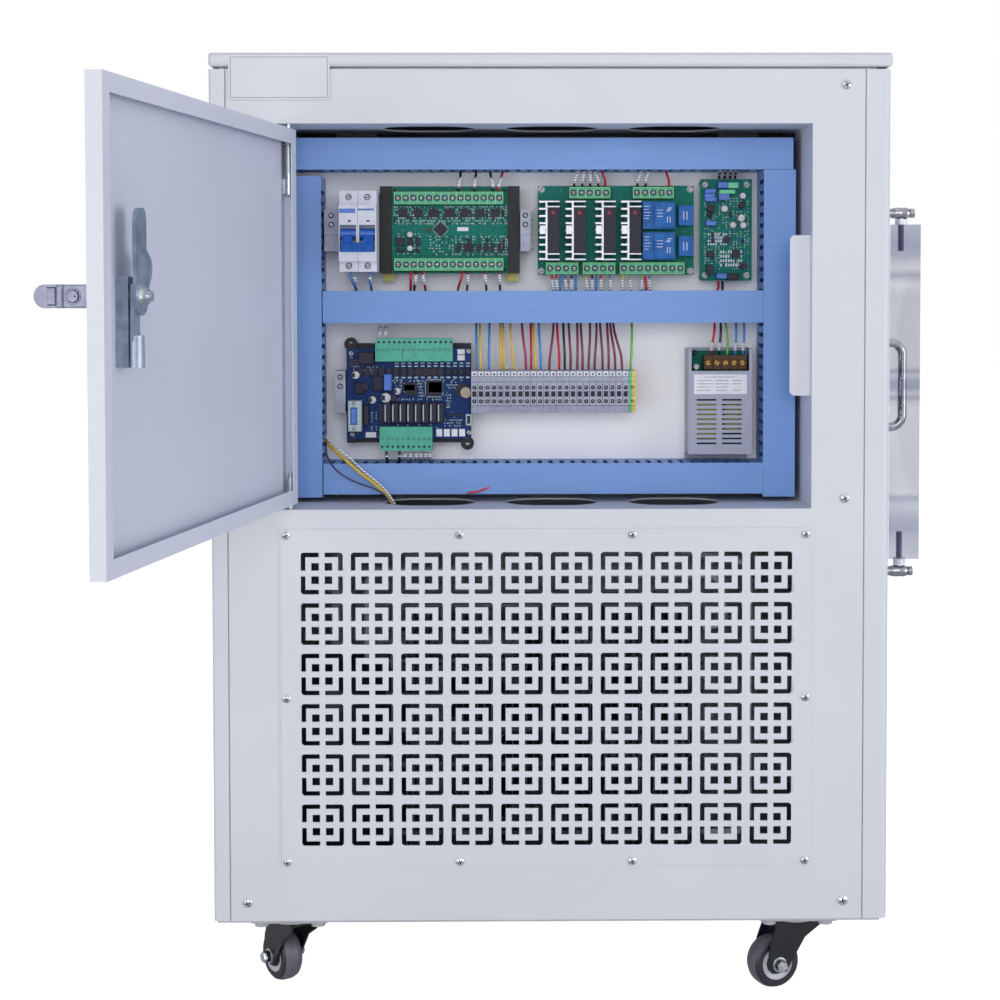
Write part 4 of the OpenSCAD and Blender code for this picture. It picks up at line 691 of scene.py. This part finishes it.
# Two fields of bare pads, left for parts that this version doesn't carry.
for x, z, columns, rows in (((158, 178), (720.5, 733.5), 8, 4), ((170.5, 193), (699.5, 717), 9, 4)):
    for column in range(columns):
        for row in range(rows):
            if (column * 5 + row * 3 + columns) % 7 == 0:
                continue
            cx = x[0] + (x[1] - x[0]) * column / columns
            cz = z[0] + (z[1] - z[0]) * row / rows
            moulding(bm, (cx, cx + 1.3), (cz, cz + (z[1] - z[0]) / rows * 0.62), (92.9, 94), 6, 0.1)
scattered(bm, (153.5, 199.5), (696, 768), 94.05, 330, 5)
for x in (155.2, 196.4):
    for z in (690.8, 780.4):
        turned_ring(bm, [(3.2, 0), (3.2, 0.5), (2.8, 0.7)], (x, side_panel + 94, z), (0, -1, 0), 18, 5)
        slotted_screw(bm, x, z, 2.4, 93.2, 3, 4, 0.5)
solid("sensor_board_parts", bm, "cabinet", tinned, blue_polycarbonate, light_green, plated_screw, black_epoxy_and_painted_shade,
      aluminium_can, white_ink)


# ---- Controller board ----
# The programmable controller: optocouplers, a row of slim relays, a serial socket, chips and a
# clock cell on a blue board, with two plug-in clamps.

# The clock cell's top: warm, dull nickel under a clear sleeve.
beige_seal = plain("clock_cell_steel_with_beige_seal", 3, "8E8378", "A3978A", 0.4, Metallic=0.2)
refinish("plc_board", black_epoxy_and_painted_shade, lambda c: c.y < -168.05)

bm = bmesh.new()
for i in range(12):
    left = -151.5 + i * 6.36
    moulding(bm, (left, left + 4.4), (593, 599.6), (78.2, 82), 1, 0.4)
    moulding(bm, (left + 0.3, left + 4.1), (601, 602.6), (80.8, 82), 0, 0.2)
    moulding(bm, (left + 0.3, left + 4.1), (604, 605.4), (81, 82), 0, 0.2)
    moulding(bm, (left + 0.3, left + 4.1), (589.8, 591.6), (81, 82), 0, 0.2)
for i in range(8):
    left = -161.2 + i * 7.44
    moulding(bm, (left, left + 6.4), (546.8, 566.4), (69.5, 82), 1, 0.4)
    moulding(bm, (left + 0.5, left + 1.7), (548.3, 564.5), (69.2, 71), 0, 0.1)
moulding(bm, (-161.5, -154), (578.5, 594.3), (70, 82), 2, 0.5)
moulding(bm, (-172.4, -162.4), (578, 592.5), (76, 82), 1, 0.5)
moulding(bm, (-186.3, -171), (604.3, 616), (72, 82), 1, 0.6)
moulding(bm, (-183.8, -172), (603.6, 605.2), (76, 82), 6, 0.2)
for x, z, r in ((-189.3, 593.4, 4), (-172.8, 569, 3.8), (-159.8, 571, 5), (-148.5, 577.5, 3.4)):
    can(bm, x, z, r, (73, 82), 4)
    moulding(bm, (x - r * 0.9, x - r * 0.1), (z - r * 0.5, z + r * 0.5), (72.8, 73.4), 1, 0.1)
moulding(bm, (-191, -181), (574.5, 586), (78, 82), 1, 0.8)
can(bm, -186, 580.2, 3.4, (77.4, 79), 1)
moulding(bm, (-143, -131.5), (577.8, 583.8), (80.4, 82), 1, 0.2)
moulding(bm, (-120.4, -105), (572.4, 587.6), (80.4, 82), 1, 0.2)
for x, z in (((-143, -131.5), (576.2, 577.2)), ((-143, -131.5), (584.4, 585.4)),
             ((-121.4, -120.8), (573, 587)), ((-104.6, -103.8), (573, 587)),
             ((-120, -105.4), (588, 588.8)), ((-120, -105.4), (571.2, 572))):
    moulding(bm, x, z, (81.3, 82), 0, 0.1)
can(bm, -81.4, 575.8, 5.6, (77.6, 82), 5, 28)
moulding(bm, (-196.3, -183), (538.4, 568.8), (66, 82), 0, 0.6)
moulding(bm, (-194, -187), (545, 562.4), (65.6, 70), 1, 0.6)
moulding(bm, (-193.4, -187.6), (545.8, 561.6), (65.2, 70), 2, 0.6)
for k in range(9):
    can(bm, -191.7 + 2.4 * (k > 4), 548.4 + 2.75 * (k % 5) + 1.3 * (k > 4), 0.55, (64.9, 65.4), 7, 8)
for z in (541.6, 566.2):
    slotted_screw(bm, -190.4, z, 2.1, 65.6, 3, 1, 0.7)
moulding(bm, (-182, -176.8), (543.8, 563.6), (76, 82), 1, 0.4)
moulding(bm, (-81.6, -75.6), (543.6, 554.8), (77, 82), 0, 0.4)
moulding(bm, (-80.2, -77), (545.4, 553), (76.6, 80), 1, 0.2)
for x in ((-100, -95), (-91.6, -85.4)):
    moulding(bm, x, (552, 555), (80.4, 82), 1, 0.2)
for i in range(4):
    moulding(bm, (-110.6 + i * 7.5, -104.8 + i * 7.5), (532.5, 539.8), (81.2, 82), 7, 0.1)
for x, z, depth in (((-180, -169.8), (531.6, 536.8), 81.2), ((-89.6, -82.4), (607.4, 612.6), 80.8),
                    ((-89.6, -82.4), (613.4, 618.4), 80.8)):
    moulding(bm, x, z, (depth, 82), 7, 0.1)
for x, z in ((-194, 614.5), (-78.6, 616.4), (-193, 535), (-78.2, 536.4)):
    slotted_screw(bm, x, z, 2.5, 81.4, 3, 1, 1.0)
for i in range(15):
    can(bm, -166 + i * 5.03, 625.8, 1.25, (67.5, 68.2), 1, 10)
for i in range(10):
    can(bm, -163 + i * 5.13, 523.6, 1.25, (67.5, 68.2), 1, 10)
moulding(bm, (-143.3, -142.9), (607.4, 619.6), (67.7, 68.2), 1, 0.05)
for area in (((-168, -76), (586, 588.8)), ((-166, -104), (567.5, 570.5)), ((-128.5, -122), (571, 586)),
             ((-101, -88), (579, 590)), ((-176, -163), (538, 560)), ((-103, -84), (541.5, 550)),
             ((-168, -108), (540, 545.4)), ((-166, -92), (606.5, 612)), ((-182, -168), (594, 602)),
             ((-152, -144), (578, 590)), ((-130, -122), (574, 589)),
             ((-196, -186), (597, 612)), ((-101, -96), (560, 575))):
    scattered(bm, area[0], area[1], 82, 22, int(area[0][0] + area[1][0]) + 900)
solid("controller_board_parts", bm, "cabinet", tinned, black_epoxy_and_painted_shade, blue_polycarbonate, plated_screw,
      aluminium_can, beige_seal, amber, white_ink)


# ---- Breaker ----
# A two-pole breaker in a white moulded case, snapped on the upper rail: two plain colour bars,
# indicator windows, tied blue levers and four terminal screws.

# The breaker's housing: cleaner and whiter than the terminals.
white_polyamide = plain("white_moulded_polyamide", 10, "C4C9D8", "CED2E0", 0.4, (0.8, 0.03))
finish(white_polyamide, "breaker_body")
finish(blue_polycarbonate, "breaker_toggle")

bm = bmesh.new()
moulding(bm, (-201.4, -186.3), (750.4, 754.6), (37.7, 38.2), 0, 0.1)
moulding(bm, (-183.6, -168.3), (752.8, 754.6), (37.7, 38.2), 0, 0.1)
for x in (-191.8, -174):
    moulding(bm, (x - 1.4, x + 1.4), (742, 743.6), (37.6, 38.2), 1, 0.1)
for x in (-193, -175):
    for z in (766, 700):
        turned_ring(bm, [(3.15, 0), (3.15, 1.0), (2.6, 1.2)], (x, side_panel + 48.8, z), (0, -1, 0), 20, 2)
        slotted_screw(bm, x, z, 2.5, 47.4, 2, 1, 0.5)
solid("breaker_marks_and_screws", bm, "cabinet", blue_polycarbonate, black_epoxy_and_painted_shade, plated_screw)


# ---- Rail clamps and rail terminals ----
# Screwed end clamps and 25 moulded polyamide terminals on the lower rail, with white marker tags, the green
# and yellow earth terminal at the end, and painted shade: dark patches for the wire funnels, the screw holes
# and the gaps between blocks.

# Moulded polyamide: pale cool grey with a waxy sheen.
grey_polyamide = plain("light_grey_polyamide", 10, "9398AC", "9FA4B8", 0.45, (0.8, 0.03))
finish(grey_polyamide, "terminal_blocks")
refinish("din_rails", grey_polyamide, lambda c: c.y < -145.55)
earth, tree = blank_material("green_and_yellow_moulded_polyamide")
# The earth terminal: one half green, the other yellow, as moulded.
where = add(tree, "ShaderNodeSeparateXYZ", {0: place_in(tree, 1)})
side = add(tree, "ShaderNodeMath", {0: where.outputs[0]}, {1: 81.3}, operation="GREATER_THAN")
tone = add(tree, "ShaderNodeMix", {"Factor": side.outputs[0]},
           {"A": linear("58B58C"), "B": linear("D8BC4C")}, data_type="RGBA")
shader = principled(tree, tone.outputs["Result"], 0.42)
roughened(tree, shader, 0.8, 0.03)
refinish("terminal_blocks", earth, lambda c: c.x > 78.1)

bm = bmesh.new()
for x, z in ((-212.4, 745), (-22.7, 745), (-204.4, 587)):
    for side in (-4.5, 4.5):
        # Painted shade: a dark disc behind each clamp screw, for its hole.
        can(bm, x, z + side, 2.9, (74.6, 75.4), 1)
        slotted_screw(bm, x, z + side, 2.1, 75.2, 2, 1, 0.9)
for i in range(24):
    left = -76 + i * 6.42
    moulding(bm, (left + 0.8, left + 5.4), (592.8, 597), (65.4, 66.1), 0, 0.2)
    moulding(bm, (left + 2.3, left + 4.2), (593.6, 595.4), (65.2, 65.6), 1, 0.1)
    # Painted shade: a dark patch for the wire funnel and a dark line for the gap to the next block.
    moulding(bm, (left + 1, left + 5.3), (572.2, 577.7), (66.4, 67.1), 1, 0.1)
    moulding(bm, (left - 0.26, left + 0.14), (564.4, 586.3), (64.9, 65.4), 1, 0.02)
    for z in (581.3, 567.9):
        # Painted shade: a dark disc round each screw, for its hole.
        can(bm, left + 3.2, z, 2.1, (68.8, 70), 1, 12)
        can(bm, left + 3.2, z, 1.2, (67.6, 69), 2, 10)
solid("rail_terminal_marks", bm, "cabinet", white_ink, black_epoxy_and_painted_shade, plated_screw, grey_polyamide)


# ---- Power supply ----
# A switching supply in a slotted aluminium case, screwed to the plate: rating label, amber clamp
# block with brass screws, and a taped transformer seen through the slots.

folded_alloy, tree = blank_material("brushed_aluminium_sheet")
# The supply's case: pale alloy sheet, brushed upright, drawn 1 mm wide so that it shows.
stretch = add(tree, "ShaderNodeVectorMath", {0: place_in(tree, 1)}, {1: (1, 1, 0.04)}, operation="MULTIPLY")
grain = add(tree, "ShaderNodeTexNoise", {"Vector": stretch.outputs[0]}, {"Scale": 1.0, "Detail": 2.0})
tone = add(tree, "ShaderNodeMix", {"Factor": grain.outputs["Fac"]},
           {"A": linear("8C90A6"), "B": linear("989CB1")}, data_type="RGBA")
principled(tree, tone.outputs["Result"], 0.4, Metallic=0.15)
finish(folded_alloy, "power_supply_case")
finish(amber, "power_supply_core")
refinish("power_supply_core", green_mask, lambda c: c.y > -147.1)
refinish("power_supply_core", yellow_tape, lambda c: -171.1 < c.y < -147.1 and c.z < 567)
# Clamp screws dipped in the amber block: dull brass.
brass_screw = plain("brass_plated_clamp_screw", 1, "9C7428", "C2994A", 0.35, Metallic=0.4)
bm = bmesh.new()
moulding(bm, (142.3, 194.4), (574.3, 593.6), (71.75, 72.1), 0, 0.05)
for z, words in ((591, ((152, 183),)), (587.6, ((146, 160), (164, 176), (180, 190))),
                 (584.4, ((145, 161), (164, 176), (180, 189))), (581.2, ((145, 158), (164, 175))),
                 (578, ((145, 159), (164, 174), (180, 188)))):
    for word in words:
        moulding(bm, word, (z - 0.2, z + 0.2), (71.7, 71.9), 2, 0.02)
for i in range(5):
    x = 157.4 + i * 8.46
    slotted_screw(bm, x, 604.6, 2.7, 82.6, 1, 2, 0.3 + i * 0.8)
    moulding(bm, (x - 4.4, x - 3.7), (598, 612.2), (80.5, 84), 3, 0.2)
moulding(bm, (x + 3.6, x + 4.4), (598, 612.2), (80.5, 84), 3, 0.2)
can(bm, 145.9, 600.6, 3.1, (84, 103), 4)
can(bm, 145.8, 614.4, 2.4, (98, 103), 2)
solid("power_supply_parts", bm, "cabinet", white_ink, brass_screw, black_epoxy_and_painted_shade, amber, aluminium_can)


# ---- Leads, their marker sleeves and ferrules ----
# Single-core hook-up wire in PVC, each end crimped in a ferrule and slid into a printed sleeve,
# then dropped into the duct.

for name, low, high in (
    ("black", "1A1B22", "24252C"), ("red", "B3142E", "C4203A"), ("blue", "3A7FC0", "478CCD"),
    ("yellow", "C9A83E", "D8BA55"), ("brown", "6E2A3E", "7E3A4E"),
):
    # Extruded PVC insulation: even colour, satin, with a faint drawn grain.
    insulation = plain(name + "_pvc_insulation", 5, low, high, 0.38, (0.6, 0.01))
    finish(insulation, "wires_" + name)
    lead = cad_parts["wires_" + name]
    lead.modifiers.new("joined_faces", "WELD").merge_threshold = 0.00001
    swollen = lead.modifiers.new("insulation", "DISPLACE")
    swollen.strength, swollen.mid_level = 0.00035, 0.0
    for face in lead.data.polygons:
        face.use_smooth = True
# Earth leads: green insulation with a slight yellow cast from its stripe.
green_pvc = plain("green_yellow_pvc_insulation", 2, "6FA64A", "8DBB5A", 0.38)
# One signal lead in deep magenta.
magenta_pvc = plain("magenta_pvc_insulation", 4, "9C1F5E", "AE2C6E", 0.38)
refinish("wires_yellow", green_pvc, lambda c: c.x > 78 and (c.z > 590 or c.x > 170))
refinish("wires_red", magenta_pvc, lambda c: -30 < c.x < -20 and c.z < 650)

sleeve_pvc, tree = blank_material("printed_white_marker_sleeve")
# White PVC marker tube with its printed characters reduced to dark bars 2.6 mm apart.
where = add(tree, "ShaderNodeSeparateXYZ", {0: place_in(tree, 2.6)})
band = add(tree, "ShaderNodeMath", {0: where.outputs[2]}, operation="FRACT")
dark = add(tree, "ShaderNodeMath", {0: band.outputs[0]}, {1: 0.26}, operation="LESS_THAN")
tone = add(tree, "ShaderNodeMix", {"Factor": dark.outputs[0]},
           {"A": linear("E4E5EE"), "B": linear("7B7C90")}, data_type="RGBA")
principled(tree, tone.outputs["Result"], 0.5)
# Ferrule collars: pale pink polypropylene.
ferrule_pink = plain("pale_pink_ferrule_collar", 3, "D4A3AE", "E2B6C0", 0.45)


duct_depth = 86  # where the leads dip into the ducts


def sleeve(bm, lead, depth, low, high, radius, span, material):
    """Adds a sleeve round a lead, between two shares of the lead's way from device to duct."""
    straight = math.copysign(4, high - low)
    rise = high - low - straight
    bow = min(9, abs(rise) / 5)
    rings = []
    for k in range(7):
        t = span[0] + (span[1] - span[0]) * k / 6
        s = t * t * (3 - 2 * t)
        x = lead[0] + (lead[1] - lead[0]) * s
        y = side_panel + depth + (duct_depth - depth) * s - bow * math.sin(math.pi * t)
        z = low + straight + rise * t
        ring = []
        for a in (2 * math.pi * n / 10 for n in range(10)):
            across, out = x + radius * math.cos(a), y + radius * math.sin(a)
            ring.append(bm.verts.new((across / 1000, out / 1000, z / 1000)))
        rings.append(ring)
    skin(bm, rings, material)


# Each row: depth and height at the device, height at the duct, share of the way that is sleeved,
# and the x of each sleeved lead at the device and at the duct.
bm = bmesh.new()
for depth, low, high, span, leads in (
    (77, 773.2, 793, (0.0, 0.6), ((-88, -86), (-72.7, -71), (-54.4, -57), (-48.7, -45))),
    (88, 778.4, 793, (-0.1, 1.0), ((25.4, 29), (33.4, 35), (41.4, 41), (49.4, 46), (87.8, 91), (95.8, 98))),
    (94, 786.2, 793, (-0.6, 1.0), ((168.9, 169.5), (174.4, 174.6), (179.8, 179.8), (185, 184.8))),
    (77, 694.8, 676, (-0.05, 0.6), ((-129.9, -132), (-123, -121), (-79.1, -80), (-62.3, -61),
                                    (-48.1, -47.6))),
    (88, 690.6, 676, (-0.1, 1.0), ((3.6, 5), (7.8, 9), (16.8, 17.4), (23, 22.5), (37.3, 38.5), (43.2, 43),
                                   (51.8, 52), (61, 61.5), (73, 73.5), (80.6, 81.5), (92.2, 91.5),
                                   (99.4, 100.5))),
    (86, 612.5, 644.3, (0.0, 0.3), ((160.7, 164), (168.6, 170), (184.4, 185), (192.2, 193))),
    (68, 519, 508, (-0.3, 0.9), ((-159, -159), (-146, -147), (-141, -141.5), (-135.5, -136), (-130, -130.5),
                                (-125.5, -126), (-121, -121.5), (-116.8, -117.2))),
    (68, 628, 644.3, (0.1, 0.8), ((-165, -165), (-159.6, -159.6))),
    (56, 693.8, 676, (0.0, 0.5), ((-173.7, -174), (-188.4, -187))),
):
    for lead in leads:
        sleeve(bm, lead, depth, low, high, 1.75, span, 0)
        if high > 690 or depth == 77:
            sleeve(bm, lead, depth, low, high, 1.5, (span[0] - 0.16, span[0]), 1)
solid("marker_sleeves", bm, "cabinet", sleeve_pvc, ferrule_pink, smooth=True)


def cord(bm, points, radius, material, turns=8):
    """Adds a cord through points in mm, rounded between them."""
    spots = [Vector(p) for p in points]
    spots = [spots[0] * 2 - spots[1]] + spots + [spots[-1] * 2 - spots[-2]]
    rings = []
    for a, b, c, d in zip(spots, spots[1:], spots[2:], spots[3:]):
        for k in range(6 + (d is spots[-1])):
            t = k / 6
            bend, swing = 2 * a - 5 * b + 4 * c - d, 3 * b - a - 3 * c + d
            middle = 0.5 * (2 * b + (c - a) * t + bend * t * t + swing * t ** 3)
            along = ((c - a) + 2 * bend * t + 3 * swing * t * t).normalized()
            side = along.cross(Vector((0, 1, 0))).normalized()
            over = along.cross(side)
            rings.append([bm.verts.new((middle + (side * math.cos(w) + over * math.sin(w)) * radius) / 1000)
                          for w in (2 * math.pi * n / turns for n in range(turns))])
    skin(bm, rings, material)


# Two thinner strands beside the loose sensor lead, one white and one dark violet, and a short red
# lead end on the box's floor.
# Thin signal lead: violet, nearly black, satin.
violet_pvc = plain("dark_violet_pvc_insulation", 4, "2B2548", "372F5C", 0.4)
red_pvc = bpy.data.materials["red_pvc_insulation"]
bm = bmesh.new()
cord(bm, ((-219, -176, 534), (-213, -183, 528), (-204, -191, 521.5), (-193, -194.5, 513),
          (-181, -194.5, 501.5), (-169.5, -194.5, 492), (-158, -194, 481), (-149, -191, 466)), 0.9, 0)
cord(bm, ((-219, -174, 527), (-217, -184, 516), (-210, -193, 505), (-199, -195, 496), (-186, -195, 489.5),
          (-172, -195, 484.5), (-160, -194.5, 477.5), (-153, -192, 465)), 0.8, 1)
cord(bm, ((-80, -190, 478.9), (-70, -189, 480), (-60, -187.5, 483.5), (-52, -186, 486)), 1.0, 2)
solid("loose_strands", bm, "cabinet", sleeve_pvc, violet_pvc, red_pvc, smooth=True)


# ---- Electrical door, its hinge pins and its latch ----
# The folded pan door carries a zinc die-cast latch: a lock body, a stamped lever inside and a
# satin-chromed pull-out handle outside.

# Die-cast zinc, barrel-plated: grey-blue, drifting paler in patches.
passivated = plain("blue_passivated_zinc_casting", 12, "8491A6", "A3AFC2", 0.36, (1.0, 0.02), Metallic=0.6)
# The inside of the door's pan: the panels' coat, half-matt, tinted bluer as painted shade for the faces
# turned from the lamps.
door_coat_painted_shade = plain("white_powder_coat_painted_shade_blue", 160, "CCD1E2", "D0D5E6", 0.45, (2.0, 0.012, 1.0))
finish(door_coat_painted_shade, "electrical_door")
# Its skin and its latch edge face outwards and keep the panels' own untinted coat.
# The door is shown open, its width leaning 9.4 degrees outwards from straight out.
pivot, lean = (-246, -243), (0.9866, 0.1633)
refinish("electrical_door", powder_white,
         lambda c: (c.x - pivot[0]) * lean[0] - (c.y - pivot[1]) * lean[1] < -6.5
         or -(c.x - pivot[0]) * lean[1] - (c.y - pivot[1]) * lean[0] > 486.5)
finish(bright_zinc, "door_hinge_pins", "latch_spindle")
finish(passivated, "latch_housing", "latch_lever")

# The upper hinge pin's return spring, wound round the pin between its finger tab and the lip.
low, high = (1000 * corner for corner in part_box("door_hinge_pins"))
axis = ((low.x + high.x) / 2, high.y - 3.5)
bm = bmesh.new()
turns, wire, radius, span = 14, 0.55, 4.1, (785, 814)
rings = []
for k in range(turns * 16 + 1):
    a = 2 * math.pi * k / 16
    z = span[0] + (span[1] - span[0]) * k / (turns * 16)
    ring = []
    for n in range(6):
        b = 2 * math.pi * n / 6
        r = radius + wire * math.cos(b)
        ring.append(bm.verts.new(((axis[0] + r * math.cos(a)) / 1000, (axis[1] + r * math.sin(a)) / 1000,
                                  (z + wire * math.sin(b)) / 1000)))
    rings.append(ring)
skin(bm, rings)
solid("pin_spring", bm, "electrical_door", bright_zinc, smooth=True)

# Tumbled before plating: the same chrome, but grey, soft and half-matt.
satin_chrome = plain("satin_chromed_zinc_casting", 6, "7F8399", "8F93A8", 0.42, Metallic=0.3)
finish(satin_chrome, "latch_handle")

# The handle's grip panel, cross ridge and lock cylinder, drawn with x along the handle from its round end and
# then set on the open door; the grooves, the gap round the cylinder and its two holes are painted shade in
# black.
bm = bmesh.new()
level = 672.1
moulding(bm, (23.6, 44), (level - 7.9, level + 7.9), (244.2, 247), 0, 0.5)
moulding(bm, (18, 23.6), (level - 8.4, level + 8.4), (243.4, 247), 0, 1.2)
moulding(bm, (10.6, 16.3), (level - 5.7, level + 5.7), (246, 247), 0, 0.3)
# Painted shade: dark lines for the grooves round the grip panel.
for side in (-6.3, 6.3):
    moulding(bm, (10.3, 17.2), (level + side - 0.35, level + side + 0.35), (246.2, 246.6), 1, 0.02)
moulding(bm, (16.6, 17.3), (level - 6.3, level + 6.3), (246.2, 246.6), 1, 0.02)
can(bm, 30.7, level, 6.3, (243.7, 245), 0, 28)
# Painted shade: a dark ring for the gap round the lock cylinder.
can(bm, 30.9, level, 5, (243.1, 244), 1, 28)
can(bm, 30.9, level, 4.5, (242.4, 244), 0, 28)
# Painted shade: two dark dots for the cylinder's holes.
for x, depth in ((25.2, 243.9), (32.9, 242.2)):
    can(bm, x, level, 1, (depth, depth + 0.4), 1)
onto_door = Matrix.Translation((-0.38463, -0.65186, 0)) @ Matrix.Rotation(math.radians(-9.4), 4, "Z")
bmesh.ops.transform(bm, matrix=onto_door, verts=bm.verts)
solid("handle_lock_and_grip", bm, "latch_handle", satin_chrome, black_epoxy_and_painted_shade)


# ---- Chamber door ----
# A 30 mm cast acrylic slab, sawn, milled and flame-polished on its edges. It swings on two
# stainless pins and carries a bent, chrome-plated pull handle.

# Bright chrome plate over a buffed casting.
chrome = plain("chrome_plated_zinc", 10, "B9BCC4", "D5D7DD", 0.16, Metallic=1.0)
finish(chrome, "pull_handle")
# Centreless-ground bar: pale and satin, with a fine circular grain.
ground_pin = plain("ground_stainless_pin", 2, "C6C9D2", "DADCE4", 0.4, Metallic=0.35)
finish(ground_pin, "chamber_door_pins")

acrylic, tree = blank_material("polished_cast_acrylic")
# Cast acrylic: clear through its faces; its long milled edge carries a painted reflection: lilac, with the
# seal and the flange behind it painted as level dark and light bands and pale painted highlights, placed by
# their share of the height.
low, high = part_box("chamber_door")
where = add(tree, "ShaderNodeTexCoord")
height = add(tree, "ShaderNodeSeparateXYZ", {0: where.outputs["Object"]})
share = add(tree, "ShaderNodeMapRange", {"Value": height.outputs[2]}, {"From Min": low.z, "From Max": high.z})
ramp = add(tree, "ShaderNodeValToRGB", {"Fac": share.outputs[0]})
# Painted reflection and painted highlights, from the bottom of the slab to its top.
bands = (
    (0.0, "8F93A2"), (0.07, "838496"), (0.088, "6D7089"), (0.12, "787B91"), (0.16, "9B9DAA"),
    (0.185, "71748B"), (0.2, "AFB0B7"), (0.22, "A5A7AF"), (0.47, "A7A8B1"), (0.483, "6D7187"),
    (0.497, "9DA0AB"), (0.512, "686B83"), (0.534, "6F728B"), (0.552, "999CA9"), (0.563, "676A82"),
    (0.577, "A6A7B0"), (0.79, "A3A4AE"), (0.822, "BBBCC1"), (0.85, "73758C"), (0.872, "B2B3BA"),
    (0.905, "7C7E93"), (0.94, "6D7089"), (1.0, "848799"),
)
while len(ramp.color_ramp.elements) < len(bands):
    ramp.color_ramp.elements.new(0.5)
for element, (place, colour) in zip(ramp.color_ramp.elements, bands):
    element.position = place
    element.color = linear(colour)
facing = add(tree, "ShaderNodeSeparateXYZ", {0: where.outputs["Normal"]})
sideways = add(tree, "ShaderNodeMath", {0: facing.outputs[1]}, operation="ABSOLUTE")
on_edge = add(tree, "ShaderNodeMath", {0: sideways.outputs[0]}, {1: 0.5}, operation="GREATER_THAN")
tone = add(tree, "ShaderNodeMix", {"Factor": on_edge.outputs[0], "B": ramp.outputs["Color"]},
           {"A": linear("E9EBF3")}, data_type="RGBA")
shader = principled(tree, tone.outputs["Result"], 0.0, IOR=1.0)
shader.inputs["Transmission Weight"].default_value = 1.0
shader.inputs["Coat Weight"].default_value = 0.5
finish(acrylic, "chamber_door")


# ---- Operator screen ----
# A moulded bezel round a glass touch panel, set into the front panel.

finish(black_abs, "operator_screen")
